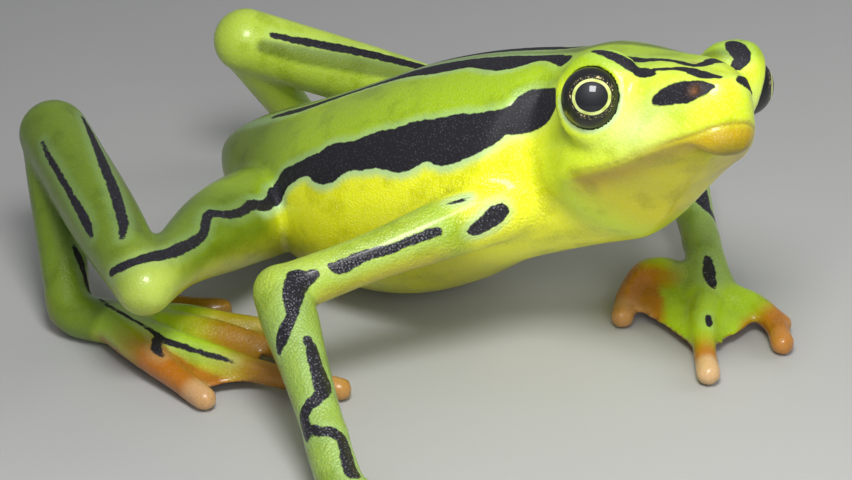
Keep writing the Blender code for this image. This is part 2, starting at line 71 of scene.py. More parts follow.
# Side line (x, half width, z), top line (x, z), underside line (x, z), fullness above and below
HEAD_STATIONS = np.array([
    (-5.0, 4.5, -2.4, -5.0, 2.9, -5.0, -6.1, 2.0, 1.7),
    (-3.7, 4.32, -3.0, -3.7, 2.82, -3.4, -6.02, 2.0, 1.4),
    (-2.4, 4.1, -3.1, -2.4, 2.5, -2.0, -5.55, 2.2, 1.2),
    (-1.2, 3.72, -3.02, -1.2, 2.12, -0.8, -4.72, 2.4, 1.15),
    (0.0, 3.25, -2.96, 0.0, 1.76, 0.3, -4.15, 2.6, 1.15),
    (1.1, 2.82, -2.8, 1.1, 1.44, 1.2, -3.6, 2.7, 1.2),
    (2.1, 2.42, -2.55, 2.2, 1.07, 2.1, -3.25, 2.8, 1.4),
    (2.9, 2.08, -2.36, 3.1, 0.7, 2.8, -3.05, 2.9, 1.6),
    (3.5, 1.76, -2.27, 3.85, 0.36, 3.4, -2.98, 3.0, 1.8),
    (3.98, 1.48, -2.2, 4.4, 0.1, 3.98, -3.2, 3.0, 2.2),
    (4.33, 1.18, -2.1, 4.8, -0.15, 4.44, -3.22, 2.8, 2.5),
    (4.6, 0.84, -2.0, 5.02, -0.55, 4.76, -3.1, 2.5, 2.5),
    (4.76, 0.42, -1.96, 4.98, -1.15, 4.9, -2.68, 2.2, 2.3),
])
LIP_FRONT = np.array([4.83, 0.0, -1.95])
TRUNK_FULLNESS = (2.15, 2.35)   # of each ring above and below its side line
NECK_EASE = (0.4, 0.75)         # shares of the way from the last trunk ring to the first head ring
AROUND_TRUNK = 128


def turned(yaw, pitch, roll):
    """Turn that rolls about X, lifts the front by the pitch and then turns about Z, in degrees."""
    z, y, x = np.radians([yaw, -pitch, roll])
    about_z = np.array([[np.cos(z), -np.sin(z), 0], [np.sin(z), np.cos(z), 0], [0, 0, 1]])
    about_y = np.array([[np.cos(y), 0, np.sin(y)], [0, 1, 0], [-np.sin(y), 0, np.cos(y)]])
    about_x = np.array([[1, 0, 0], [0, np.cos(x), -np.sin(x)], [0, np.sin(x), np.cos(x)]])
    return about_z @ about_y @ about_x


TRUNK_TURN = turned(0.0, TRUNK_PITCH, 0.0)
HEAD_TURN = turned(HEAD_YAW, HEAD_PITCH, HEAD_ROLL)


def on_trunk(points):
    """Places of points given along, beside and above the trunk's axis from the middle of the hips."""
    return HIPS_MIDDLE + np.asarray(points, float) @ TRUNK_TURN.T


HEAD_MIDDLE = on_trunk((20.0, 0.0, 1.0)) + HEAD_TURN @ NECK_TO_EYES


def on_head(points):
    """Places of points given in the head's own axes, from the middle between the eyes."""
    return HEAD_MIDDLE + np.asarray(points, float) @ HEAD_TURN.T


# The solids stand on the origin, so the right eye's solid tells how far everything is moved.
eye_low, eye_high = (np.array(corner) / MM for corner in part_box("eye_right"))
STAND = (eye_low + eye_high) / 2.0 - on_head((0.0, -EYE_SPREAD, 0.0))


def smooth_through(rows, steps):
    """Rows on a smooth curve through the given rows, steps to each interval.

    Between two rows it is the cubic that leaves and reaches them with their own slopes, and a
    row's slope is the weighted one between its neighbours, by the distances to them.
    """
    rows = np.asarray(rows, float)
    flat = rows.reshape(len(rows), -1)
    gaps = np.maximum(np.linalg.norm(np.diff(flat, axis=0), axis=1), 1e-6)
    slopes = np.gradient(flat, np.concatenate([[0.0], np.cumsum(gaps)]), axis=0)
    t = np.linspace(0.0, 1.0, steps, endpoint=False)[None, :, None]
    gap = gaps[:, None, None]
    start, end = flat[:-1, None], flat[1:, None]
    leave, reach = slopes[:-1, None] * gap, slopes[1:, None] * gap
    curve = (2 * t ** 3 - 3 * t ** 2 + 1) * start + (t ** 3 - 2 * t ** 2 + t) * leave
    curve = curve + (-2 * t ** 3 + 3 * t ** 2) * end + (t ** 3 - t ** 2) * reach
    curve = np.concatenate([curve.reshape(-1, flat.shape[1]), flat[-1:]])
    return curve.reshape((-1,) + rows.shape[1:])


def rail_ring(side, half_width, top, low, full_up, full_low):
    """One ring over the rails, as two half ovals that meet on the side line.

    For an angle a round the ring, the sideways share is |cos a|^(2/fullness) and the share of the
    way to the top or underside rail is |sin a|^(2/fullness).
    """
    angle = 2.0 * np.pi * np.arange(AROUND_TRUNK) / AROUND_TRUNK
    upper = np.sin(angle) >= 0.0
    power = np.where(upper, 2.0 / full_up, 2.0 / full_low)
    toward = (np.abs(np.sin(angle)) ** power)[:, None]
    across = np.sign(np.cos(angle)) * np.abs(np.cos(angle)) ** power
    rail = np.where(upper[:, None], np.array(top), np.array(low))
    in_plane = np.array(side) * (1.0 - toward) + rail * toward
    return np.stack([in_plane[:, 0], -half_width * across, in_plane[:, 1]], axis=1)


def trunk_and_head():
    """Rings from the vent to the lips: the trunk's, two eased to the neck's tilt, and the head's."""
    trunk = [rail_ring((x, side), wide, (x, top), (x, low), *TRUNK_FULLNESS)
             for x, wide, side, top, low in TRUNK_STATIONS]
    head = [on_head(rail_ring((row[0], row[2]), row[1], row[3:5], row[5:7], *row[7:]))
            for row in HEAD_STATIONS]
    eased = [trunk[-1] * (1.0 - share) + head[0] * share for share in NECK_EASE]
    vent = np.tile(VENT, (AROUND_TRUNK, 1))
    lips = np.tile(on_head(LIP_FRONT), (AROUND_TRUNK, 1))
    return smooth_through([vent] + trunk + eased + head + [lips], 5)


def shell(rings):
    """Points and four-sided faces of a closed shell over rings that end in a point or a line."""
    count, around = rings.shape[:2]
    index = np.arange(count * around).reshape(count, around)
    after = np.roll(index, -1, axis=1)
    faces = np.stack([index[:-1], after[:-1], after[1:], index[1:]], axis=-1)
    return rings.reshape(-1, 3), faces.reshape(-1, 4)


flesh = [shell(trunk_and_head())]

# Lids. Each eye sits in a low dome of skin whose rim faces outward and a little forward, and the
# eyeball fills the rim. The dome curves away from the rim, so that its edge is soft.

LID_RADIUS = 2.08
LID_SPREAD = 3.42
LID_OPENING = {-1.0: 4.15, 1.0: 4.5}
LID_WAY = {-1.0: (0.75, -1.0, 0.05), 1.0: (0.35, 1.0, -0.4)}    # where the right and left rims face
LID_BOW = 1.1                   # how fast the lid falls away outside its rim


def lid_frame(side):
    """Where the rim faces, how far its plane lies before the eye's middle, and the rim's radius."""
    way = np.array(LID_WAY[side])
    way = way / np.linalg.norm(way)
    ahead = (LID_OPENING[side] - EYE_SPREAD) * abs(way[1])
    return way, ahead, np.sqrt(EYE_RADIUS ** 2 - ahead ** 2)


def lid_dome(side):
    """Ball round the eye, pressed in before the rim.

    At the distance r from the eye's axis no point stands further out than the rim's plane less
    the bow times the square of r less the rim's radius.
    """
    way, ahead, rim = lid_frame(side)
    theta = np.linspace(0.0, np.pi, 60)[:, None]
    phi = np.linspace(0.0, 2.0 * np.pi, 80, endpoint=False)[None, :]
    ball = np.stack([np.sin(theta) * np.cos(phi), np.sin(theta) * np.sin(phi),
                     np.cos(theta) + 0 * phi], axis=-1)
    points = ball * LID_RADIUS + [0.0, side * LID_SPREAD, 0.0]
    from_eye = points - [0.0, side * EYE_SPREAD, 0.0]
    out = from_eye @ way
    radius = np.linalg.norm(from_eye - out[..., None] * way, axis=-1)
    limit = ahead - LID_BOW * np.maximum(radius - rim, 0.0) ** 2
    return on_head(points - np.maximum(out - limit, 0.0)[..., None] * way)


flesh += [shell(lid_dome(side)) for side in (-1.0, 1.0)]

# Arms and legs. Each segment is a tapered tube with round ends that overlaps the next one at the
# joint, thicker where the muscle is. The rows hold the place, half width and half height.

SHOULDERS = {"right": on_trunk((16.5, -4.2, -1.0)), "left": on_trunk((16.5, 4.2, -1.0))}
ELBOWS = {"right": np.array([-4.3, -13.9, 5.7]), "left": np.array([-1.0, 14.0, 4.1])}
WRISTS = {"right": np.array([3.6, -19.55, 1.25]), "left": np.array([5.4, 6.45, 1.9])}
HIPS = {"right": on_trunk((0.0, -2.7, -1.4)), "left": on_trunk((0.0, 2.7, -1.4))}
KNEES = {"right": np.array([-10.3, -16.3, 5.2]), "left": np.array([-13.7, 15.4, 2.95])}
HEELS = {"right": np.array([-23.5, -8.9, 7.2]), "left": np.array([-22.9, 4.9, 8.45])}
ANKLES = {"right": np.array([-17.7, -14.1, 1.25]), "left": np.array([-22.1, 9.7, 1.25])}
THIGH_BOW = (-0.2, 0.0, 0.35)   # the thighs rise a little between hip and knee
TARSUS_BOW = (-0.3, 0.0, 0.0)


def tube(rows, around=48, steps=8):
    """Rings of a round-ended tube along rows of place, half width and half height.

    Each ring is an oval square to the path, with its width level with the ground. Each end is a
    dome: at the angle a the ring stands sin(a) of the radius beyond the end and shrinks as cos(a).
    """
    rows = smooth_through(rows, steps)
    way = np.gradient(rows[:, :3], axis=0)
    way = way / np.linalg.norm(way, axis=1)[:, None]
    out = np.radians([90.0, 75.0, 60.0, 45.0, 30.0, 15.0])
    head_end = np.concatenate([rows[:1, :3] - way[:1] * rows[0, 3] * np.sin(out)[:, None],
                               rows[:1, 3:] * np.cos(out)[:, None]], axis=1)
    tail_end = np.concatenate([rows[-1:, :3] + way[-1:] * rows[-1, 3] * np.sin(out[::-1])[:, None],
                               rows[-1:, 3:] * np.cos(out[::-1])[:, None]], axis=1)
    rows = np.concatenate([head_end, rows, tail_end])
    way = np.concatenate([np.repeat(way[:1], len(out), axis=0), way,
                          np.repeat(way[-1:], len(out), axis=0)])
    level = np.cross([0.0, 0.0, 1.0], way)
    level = level / np.linalg.norm(level, axis=1)[:, None]
    upright = np.cross(way, level)
    angle = np.linspace(0.0, 2.0 * np.pi, around, endpoint=False)[None, :, None]
    wide = rows[:, None, 3:4] * np.cos(angle) * level[:, None]
    high = rows[:, None, 4:5] * np.sin(angle) * upright[:, None]
    return rows[:, None, :3] + wide + high


def segment(start, end, shares, wide, high, bow):
    """Rows of one segment: places at shares t of the way plus 4 t (1 - t) bows, and half sizes."""
    bow = np.array(bow)
    stops = [start + (end - start) * share + bow * 4.0 * share * (1.0 - share) for share in shares]
    return [(*stop, w, h) for stop, w, h in zip(stops, wide, high)]


# Shares of the way along each segment, half widths and half heights there, and the bow
NO_BOW = (0.0, 0.0, 0.0)
UPPER_ARM = ([0.0, 0.30, 0.62, 1.0], [1.45, 1.28, 1.06, 1.15], [1.65, 1.40, 1.10, 1.15], NO_BOW)
FOREARM_HALF = [1.25, 1.27, 1.06, 0.92, 0.97]
FOREARM = ([0.0, 0.12, 0.40, 0.78, 1.0], FOREARM_HALF, FOREARM_HALF, NO_BOW)
THIGH = ([0.0, 0.40, 0.80, 1.0], [2.45, 2.12, 1.34, 1.28], [2.45, 2.12, 1.34, 1.26], THIGH_BOW)
SHANK_HALF = [1.30, 1.68, 1.74, 1.75]
SHANK = ([0.0, 0.40, 0.80, 1.0], SHANK_HALF, SHANK_HALF, NO_BOW)
TARSUS_HALF = [1.65, 1.40, 1.16, 1.10]
TARSUS = ([0.0, 0.25, 0.6, 1.0], TARSUS_HALF, TARSUS_HALF, TARSUS_BOW)

for side in ("right", "left"):
    for starts, ends, sizes in ((SHOULDERS, ELBOWS, UPPER_ARM), (ELBOWS, WRISTS, FOREARM),
                                (HIPS, KNEES, THIGH), (KNEES, HEELS, SHANK), (HEELS, ANKLES, TARSUS)):
        flesh.append(shell(tube(segment(starts[side], ends[side], *sizes))))

# Hands and feet. A flat palm or sole carries one round digit to each tip, bent at its knuckle,
# and a web spans the digits. Rows hold the tip's x and y, the digit's sideways bow, the height of
# its knuckle, how thick it is and the webbed share of it, from the innermost to the outermost.

FINGERS = {
    "right": [
        (7.4, -18.75, 0.4, 0.95, 1.3, 0.8),
        (9.95, -20.35, 0.2, 1.0, 1.15, 0.72),
        (10.5, -22.9, -0.2, 1.2, 1.15, 0.45),
        (8.2, -23.9, -0.5, 1.1, 1.0, 0.5),
    ],
    "left": [
        (3.4, 1.9, -2.6, 1.35, 1.35, 0.85),
        (9.8, -0.8, -0.3, 1.0, 1.2, 0.75),
        (11.0, 3.9, 1.0, 0.9, 1.15, 0.4),
        (9.95, 5.6, 0.7, 0.75, 1.0, 0.5),
    ],
}
TOES = {
    "right": [
        (-12.8, -8.8, 0.4, 1.0, 1.15, 0.85),
        (-9.4, -9.2, 0.4, 1.0, 1.1, 0.85),
        (-6.0, -10.3, 0.2, 1.05, 1.2, 0.75),
        (-2.8, -11.9, -1.1, 1.1, 1.3, 0.74),
        (-7.1, -16.2, -0.3, 1.1, 1.5, 0.97),
    ],
    "left": [
        (-15.9, 7.6, -0.4, 1.0, 1.15, 0.85),
        (-12.6, 8.8, -0.4, 1.0, 1.1, 0.85),
        (-9.8, 10.8, -0.2, 1.05, 1.2, 0.75),
        (-8.0, 13.9, 0.6, 1.1, 1.3, 0.74),
        (-13.6, 15.8, 0.3, 1.1, 1.5, 0.97),
    ],
}
TIP_HEIGHT = 0.52
PALM_HEIGHT = 0.85
WEB_THICK = 0.52
WEB_NOTCH = 0.12


def paw_parts(root, root_from, tips, palm_reach, root_radius):
    """Rows of the palm and of each digit of one hand or foot."""
    tips = np.array(tips)
    spots = np.column_stack([tips[:, :2], np.full(len(tips), TIP_HEIGHT)])
    palm = root + (spots.mean(axis=0) - root) * palm_reach
    palm[2] = PALM_HEIGHT
    base = [(*(root_from + (root - root_from) * 0.75), root_radius, root_radius),
            (*root, root_radius, root_radius), (*palm, 1.55, 0.92)]
    start = root + (palm - root) * 0.6
    digits = []
    for spot, (bow, height, thick) in zip(spots, tips[:, 2:5]):
        way = (spot - start) / np.linalg.norm(spot - start)
        knuckle = start + (spot - start) * 0.5 + np.array([-way[1], way[0], 0.0]) * bow
        knuckle[2] = height
        last = (knuckle + spot) / 2.0 + np.array([-way[1], way[0], 0.0]) * bow * 0.2
        slim = (1.0 + thick) / 2.0
        digits.append([(*start, 0.62 * thick, 0.60 * thick), (*knuckle, 0.54 * thick, 0.52 * thick),
                       (*last, 0.48 * slim, 0.47 * slim), (*spot, 0.56, 0.54)])
    return base, digits


def web(one, other, one_share, other_share):
    """Closed sheet between two digits, as flat rings whose thickness falls to nothing at both ends.

    At the share s of the webbed parts and t across, the place is between the digits' own places at
    s (1 - notch 4 t (1 - t)), so the free edge draws back as an arc, and the sheet sags as t (1 - t).
    """
    one, other = (smooth_through(np.array(digit)[:, :3], 12) for digit in (one, other))
    s = np.linspace(0.04, 1.0, 24)[:, None]
    t = np.linspace(0.0, 1.0, 16)[None, :]
    sag = 4.0 * t * (1.0 - t)
    back = s * (1.0 - WEB_NOTCH * sag) * (len(one) - 1)
    grid = np.arange(len(one))
    here, there = (np.stack([np.interp(back * share, grid, places_in[:, axis])
                             for axis in range(3)], axis=-1)
                   for places_in, share in ((one, one_share), (other, other_share)))
    sheet = here * (1.0 - t[..., None]) + there * t[..., None]
    sheet[..., 2] = sheet[..., 2] * (1.0 - 0.25 * sag)
    half = WEB_THICK / 2.0 * np.sin(np.pi * np.linspace(0.0, 1.0, 24)) ** 0.35
    half[0] = half[-1] = 0.0
    lift = np.zeros_like(sheet)
    lift[..., 2] = half[:, None]
    return np.concatenate([sheet + lift, (sheet - lift)[:, ::-1]], axis=1)


digit_paths = {}
for side in ("right", "left"):
    for paw, root, root_from, tips, palm_reach, root_radius in (
            ("hand", WRISTS[side], ELBOWS[side], FINGERS[side], 0.35, 0.97),
            ("foot", ANKLES[side], HEELS[side], TOES[side], 0.30, 1.08)):
        base, digits = paw_parts(root, root_from, tips, palm_reach, root_radius)
        digit_paths[paw, side] = [smooth_through(np.array(digit)[:, :3], 4) for digit in digits]
        flesh.append(shell(tube(base)))
        flesh += [shell(tube(digit, 32)) for digit in digits]
        webbed = [row[5] for row in tips]
        flesh += [shell(web(*pair)) for pair in zip(digits[:-1], digits[1:], webbed[:-1], webbed[1:])]

# The skin. All flesh is fused into one seamless skin by fine blocks, finer again on the head, and
# is then smoothed, so that it runs on over every joint as a living animal's does.

BLOCK = 0.214
HEAD_FINE_FROM = -3.0           # the skin is split once more in front of this, in the head's axes,
HEAD_FINE_REACH = 9.0           # and this near the middle between the eyes


def joined(name, shells):
    """One mesh object of all the shells."""
    starts = np.cumsum([0] + [len(points) for points, faces in shells])
    points = np.concatenate([points for points, faces in shells])
    faces = np.concatenate([faces + start for (_, faces), start in zip(shells, starts)])
    mesh = bpy.data.meshes.new(name)
    mesh.from_pydata(points, [], faces)
    item = bpy.data.objects.new(name, mesh)
    bpy.context.scene.collection.objects.link(item)
    return item


def places(mesh):
    """The mesh's points as an array of rows."""
    flat = np.empty(len(mesh.vertices) * 3)
    mesh.vertices.foreach_get("co", flat)
    return flat.reshape(-1, 3)


def put_places(mesh, points):
    """Moves the mesh's points to the rows of an array."""
    mesh.vertices.foreach_set("co", np.ascontiguousarray(points).ravel())
    mesh.update()


def outward(mesh):
    """The mesh's normals at its points."""
    flat = np.empty(len(mesh.vertices) * 3)
    mesh.vertex_normals.foreach_get("vector", flat)
    return flat.reshape(-1, 3)


def in_head(points):
    """Points in the head's own axes."""
    return (points - HEAD_MIDDLE) @ HEAD_TURN


def fused(item):
    """The object's shells as one closed skin of small squares, split once more on the head."""
    remesh = item.modifiers.new("fuse", "REMESH")
    remesh.mode = "VOXEL"
    remesh.voxel_size = BLOCK
    bpy.context.view_layer.update()
    graph = bpy.context.evaluated_depsgraph_get()
    mesh = bpy.data.meshes.new_from_object(item.evaluated_get(graph))
    item.modifiers.clear()
    item.data = mesh
    work = bmesh.new()
    work.from_mesh(mesh)
    work.verts.ensure_lookup_table()
    points = in_head(places(mesh))
    fine = points[:, 0] > HEAD_FINE_FROM
    fine &= np.linalg.norm(points, axis=1) < HEAD_FINE_REACH
    ends = np.empty(len(mesh.edges) * 2, int)
    mesh.edges.foreach_get("vertices", ends)
    chosen = fine[ends.reshape(-1, 2)].all(axis=1)
    work.edges.ensure_lookup_table()
    split = [work.edges[index] for index in np.flatnonzero(chosen)]
    bmesh.ops.subdivide_edges(work, edges=split, cuts=1, use_grid_fill=True)
    bmesh.ops.triangulate(work, faces=[face for face in work.faces if len(face.verts) > 4])
    work.to_mesh(mesh)
    work.free()


def smoothed(mesh, points, rounds, strength, back=0.52):
    """Points drawn towards the middle of their neighbours, by a strength for each, and let out again.

    Each round moves a point by half the strength times the way to its neighbours' middle, and then
    back out by slightly more, so that the skin is evened and does not shrink. With no way back the
    skin is drawn flat.
    """
    ends = np.empty(len(mesh.edges) * 2, int)
    mesh.edges.foreach_get("vertices", ends)
    one, other = ends.reshape(-1, 2).T
    count = np.bincount(one, minlength=len(points)) + np.bincount(other, minlength=len(points))
    strength = np.broadcast_to(strength, len(points))[:, None]
    for _ in range(rounds):
        for push in (0.5, -back):
            middle = np.stack([np.bincount(one, points[other, axis], len(points))
                               + np.bincount(other, points[one, axis], len(points))
                               for axis in range(3)], axis=1)
            middle = middle / count[:, None]
            points = points + strength * push * (middle - points)
    return points


def near_chain(points, chain):
    """Nearest place of a chain of straight pieces to each point: distance, share of chain, place."""
    best = np.full(len(points), np.inf)
    share = np.zeros(len(points))
    nearest = np.zeros_like(points)
    for index, (start, end) in enumerate(zip(chain[:-1], chain[1:])):
        way = end - start
        t = np.clip((points - start) @ way / (way @ way), 0.0, 1.0)
        place = start + t[:, None] * way
        distance = np.linalg.norm(points - place, axis=1)
        closer = distance < best
        best[closer] = distance[closer]
        share[closer] = (index + t[closer]) / (len(chain) - 1)
        nearest[closer] = place[closer]
    return best, share, nearest


def bump(distance, width):
    """1 at no distance, falling as the bell curve exp(-(d / width)^2)."""
    return np.exp(-(distance / width) ** 2)


def step(value, low, high):
    """0 below low, 1 above high, and between them 3 t^2 - 2 t^3 of the way t."""
    t = np.clip((value - low) / (high - low), 0.0, 1.0)
    return t * t * (3.0 - 2.0 * t)


def round_lid(points, side):
    """Points seen from one eye's middle along the way its rim faces.

    Gives the place from the middle, the height along that way, the place square to it and the
    distance from it.
    """
    way = lid_frame(side)[0]
    from_eye = points - [0.0, side * EYE_SPREAD, 0.0]
    out = from_eye @ way
    across = from_eye - out[:, None] * way
    return from_eye, out, across, np.linalg.norm(across, axis=1)


skin = joined("skin", flesh)
fused(skin)
body = places(skin.data)
body = smoothed(skin.data, body, 12, 1.0)

# Creases are evened out more where limbs join the trunk and where the lids rise from the head.
near = in_head(body)
soften = np.zeros(len(body))
for side in (-1.0, 1.0):
    rim = lid_frame(side)[2]
    from_eye, _, _, beside = round_lid(near, side)
    away = np.linalg.norm(from_eye, axis=1)
    ring = step(beside, rim + 0.35, rim + 0.8) * (1.0 - step(away, 2.6, 3.6))
    soften = np.maximum(soften, ring * (near[:, 0] > -4.5))
for joints, reach in ((SHOULDERS, 3.4), (HIPS, 3.8), (KNEES, 2.2), (HEELS, 2.2), (ELBOWS, 2.2)):
    for joint in joints.values():
        away = np.linalg.norm(body - joint, axis=1)
        soften = np.maximum(soften, 1.0 - step(away, 0.6 * reach, reach))
for _ in range(6):
    body = smoothed(skin.data, body, 10, soften)
put_places(skin.data, body)

# The face: line of the mouth with its lips, folds of the jaw and throat, ridge from lid to snout,
# hollow before the eye, and nostrils. Each is a push along the skin's outward way, and the places
# are in the head's own axes, on the side where y is positive.

MOUTH_LINE = smooth_through([row[:3] for row in HEAD_STATIONS if row[0] > -2.5] + [LIP_FRONT], 6)
JAW_FOLD = smooth_through([(-2.2, 4.0, -3.9), (-1.0, 3.4, -4.1), (0.6, 2.7, -3.75),
                           (2.0, 2.1, -3.35), (3.2, 1.5, -2.98), (4.0, 0.9, -2.82)], 6)
THROAT_FOLD = smooth_through([(-2.3, 4.05, -3.8), (-2.9, 3.6, -4.6), (-2.6, 2.7, -5.3),
                              (-1.9, 1.6, -5.6)], 6)
SNOUT_RIDGE = smooth_through([(1.2, 2.35, 1.0), (2.3, 1.9, 0.42), (3.4, 1.42, 0.05),
                              (4.3, 0.9, -0.12), (4.85, 0.0, -0.2)], 6)
BROW = smooth_through([(-1.6, 3.0, 1.95), (-0.4, 2.6, 2.15), (0.9, 2.5, 1.75), (1.7, 2.4, 1.05)], 6)
NOSTRIL = np.array([4.10, 1.16, -0.46])
CHEEK_HOLLOW = np.array([2.5, 2.3, -0.9])

# How far each line stands out or sinks in, and how wide it is
FACE_LINES = [(JAW_FOLD, -0.06, 0.24), (THROAT_FOLD, -0.12, 0.30), (SNOUT_RIDGE, 0.07, 0.34),
              (BROW, 0.05, 0.4)]


def mirrored(points):
    """Points in the head's axes, all on the side where y is positive."""
    return np.column_stack([points[:, 0], np.abs(points[:, 1]), points[:, 2]])


near = in_head(body)
face = mirrored(near)
on_face = (near[:, 0] > -4.8).astype(float)
mouth, _, mouth_place = near_chain(face, MOUTH_LINE)
mouth_over = face[:, 2] - mouth_place[:, 2]
mouth_end = step(near[:, 0], -2.5, -1.7)
push = -0.06 * bump(mouth, 0.07) * mouth_end
push += 0.03 * bump(mouth_over - 0.24, 0.16) * bump(mouth, 0.6) * mouth_end
push += 0.02 * bump(mouth_over + 0.22, 0.14) * bump(mouth, 0.6) * mouth_end
for line, height, width in FACE_LINES:
    push += height * bump(near_chain(face, line)[0], width)
push -= 0.14 * bump(np.linalg.norm(face - CHEEK_HOLLOW, axis=1), 0.9)
nostril = np.linalg.norm(face - NOSTRIL, axis=1)
push += 0.07 * bump(nostril - 0.30, 0.15) - 0.30 * bump(nostril, 0.15)
body = body + outward(skin.data) * (push * on_face)[:, None]

# Below and before each eye the cheek swells out to the lid's rim, and its skin is drawn smooth.
CHEEK_CREST = 2.3               # how far beside the middle of the eye the swelling is highest
CHEEK_SWELL = 0.42
near = in_head(body)
cheek = np.zeros(len(body))
for side in (-1.0, 1.0):
    rim = lid_frame(side)[2]
    _, _, across, beside = round_lid(near, side)
    below = step((0.5 * across[:, 0] - 0.85 * across[:, 2]) / np.maximum(beside, 1e-6), -0.35, 0.45)
    swell_side = (np.sign(near[:, 1]) == side) * step(near[:, 0], -4.5, -2.5)
    from_crest = beside - CHEEK_CREST
    swell = CHEEK_SWELL * np.where(from_crest < 0.0, bump(from_crest, 0.5), bump(from_crest, 1.7))
    near[:, 1] += side * (swell * below * swell_side)
    ring = step(beside, rim + 0.3, rim + 0.6) * (1.0 - step(beside, 3.3, 3.9))
    cheek = np.maximum(cheek, ring * (swell_side > 0.0) * (near[:, 2] < 0.6))
body = smoothed(skin.data, on_head(near), 45, cheek * step(mouth, 0.35, 0.8), 0.0)

# The sockets: skin inside a lid's rim is laid round the back of the eyeball, a hair away from it.
SOCKET_GAP = 0.03
near = in_head(body)
for side in (-1.0, 1.0):
    way, ahead, rim = lid_frame(side)
    _, out, across, beside = round_lid(near, side)
    inside = (beside < rim) & (out > ahead - 0.45) & (out < 1.6)
    rim_angle = np.arccos(ahead / EYE_RADIUS)
    angle = np.pi - beside / rim * (np.pi - rim_angle)
    radial = across / np.maximum(beside, 1e-6)[:, None]
    cup = (np.cos(angle)[:, None] * way + np.sin(angle)[:, None] * radial) * (EYE_RADIUS + SOCKET_GAP)
    near[inside] = cup[inside] + [0.0, side * EYE_SPREAD, 0.0]
body = on_head(near)

body[:, 2] = np.maximum(body[:, 2], 0.0)

put_places(skin.data, (body + STAND) * MM)
skin.data.shade_smooth()
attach(skin, "root")
flesh_nodes = [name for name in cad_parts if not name.startswith("eye_")]
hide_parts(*flesh_nodes)

# Markings. The black of the living skin lies in bands and strokes: one broad band along each side,
# two lines down the back, and broken stripes on the head and limbs. The skin carries them as the
# depth of each point inside the nearest stroke, so that an edge is finer than the mesh.

# Rows of each stroke are places and half widths: on the trunk and head in their own axes
SIDE_BAND = [
    (19.01, 3.38, 3.11, 0.38), (18.63, 3.24, 3.13, 0.98), (18.10, 3.32, 2.99, 0.97),
    (17.77, 3.65, 2.78, 0.70), (17.46, 3.92, 2.78, 0.68), (16.96, 4.38, 2.80, 0.62),
    (16.52, 4.66, 2.72, 0.80), (15.80, 4.92, 2.54, 0.97), (15.07, 5.04, 2.47, 1.12),
    (14.28, 5.19, 2.35, 1.19), (13.66, 5.21, 2.41, 1.04), (13.16, 5.24, 2.43, 1.00),
    (12.61, 5.34, 2.34, 1.10), (12.07, 5.47, 2.18, 1.16), (11.37, 5.51, 2.13, 1.05),
    (10.54, 5.47, 2.16, 0.95), (9.60, 5.49, 2.03, 0.88), (8.75, 5.50, 1.89, 0.75),
    (7.94, 5.48, 1.76, 0.83), (7.05, 5.50, 1.52, 1.00), (6.62, 5.49, 1.41, 0.82),
    (5.98, 5.34, 1.43, 0.60), (5.18, 5.22, 1.31, 0.47), (4.39, 5.18, 1.02, 0.47),
    (3.64, 5.12, 0.69, 0.55), (3.25, 5.23, 0.23, 0.50), (3.16, 5.60, -0.08, 0.42)]
BACK_LINE = [
    (18.7, 1.05, 4.55, 0.45), (17.7, 0.85, 4.75, 0.36), (16.9, 0.90, 4.76, 0.44),
    (16.4, 1.10, 4.70, 0.64), (15.7, 1.22, 4.66, 0.82), (14.7, 1.15, 4.72, 0.74),
    (13.6, 1.00, 4.80, 0.60), (12.8, 1.05, 4.76, 0.66), (11.7, 1.10, 4.66, 0.72),
    (10.2, 1.00, 4.57, 0.60), (8.7, 0.88, 4.38, 0.46), (7.4, 0.80, 4.17, 0.34),
    (5.6, 0.75, 3.85, 0.30), (4.0, 0.80, 3.50, 0.36), (2.4, 0.95, 3.10, 0.40),
    (0.6, 1.00, 2.60, 0.44), (-1.2, 0.90, 2.15, 0.40), (-3.0, 0.60, 1.60, 0.30)]
BROW_STRIPE = {
    "right": [(-0.12, -3.38, 2.04, 0.15), (0.25, -3.26, 1.91, 0.21), (0.68, -2.99, 1.68, 0.26),
              (0.99, -2.71, 1.43, 0.31), (1.24, -2.41, 1.11, 0.35), (1.34, -2.10, 0.89, 0.35),
              (1.81, -2.01, 0.71, 0.26), (2.09, -1.90, 0.60, 0.14)],
    "left": [(0.75, 2.95, 1.95, 0.22), (1.10, 2.92, 1.68, 0.45), (1.40, 2.90, 1.35, 0.48),
             (1.60, 2.85, 1.00, 0.36), (1.62, 2.60, 0.80, 0.28), (1.90, 2.20, 0.78, 0.22)],
}
SNOUT_LINE = [(1.61, -1.98, 0.82, 0.15), (1.92, -1.72, 0.78, 0.15), (2.55, -1.27, 0.68, 0.15),
              (2.99, -0.96, 0.62, 0.21), (3.27, -0.84, 0.53, 0.28), (3.69, -0.74, 0.36, 0.34),
              (4.18, -0.58, 0.18, 0.34), (4.49, -0.34, 0.08, 0.24)]
CROWN_LINE = [(-3.4, -1.9, 2.45, 0.26), (-2.2, -1.85, 2.10, 0.22), (-1.1, -1.70, 1.80, 0.21),
              (-0.14, -1.51, 1.54, 0.22), (0.61, -1.36, 1.40, 0.22), (1.39, -0.99, 1.26, 0.18),
              (2.00, -0.74, 1.09, 0.18), (2.58, -0.58, 0.89, 0.21), (2.92, -0.40, 0.77, 0.23),
              (2.91, 0.05, 0.78, 0.24), (2.52, 0.71, 0.90, 0.30), (2.02, 1.48, 0.99, 0.34),
              (1.86, 1.98, 0.92, 0.36)]
NOSTRIL_PATCH = [(2.42, 2.22, -0.63, 0.15), (2.59, 2.06, -0.56, 0.34), (2.93, 1.86, -0.47, 0.43),
                 (3.43, 1.66, -0.42, 0.48), (3.94, 1.49, -0.40, 0.50), (4.28, 1.20, -0.38, 0.40),
                 (4.57, 0.99, -0.35, 0.24), (4.75, 0.76, -0.37, 0.12)]
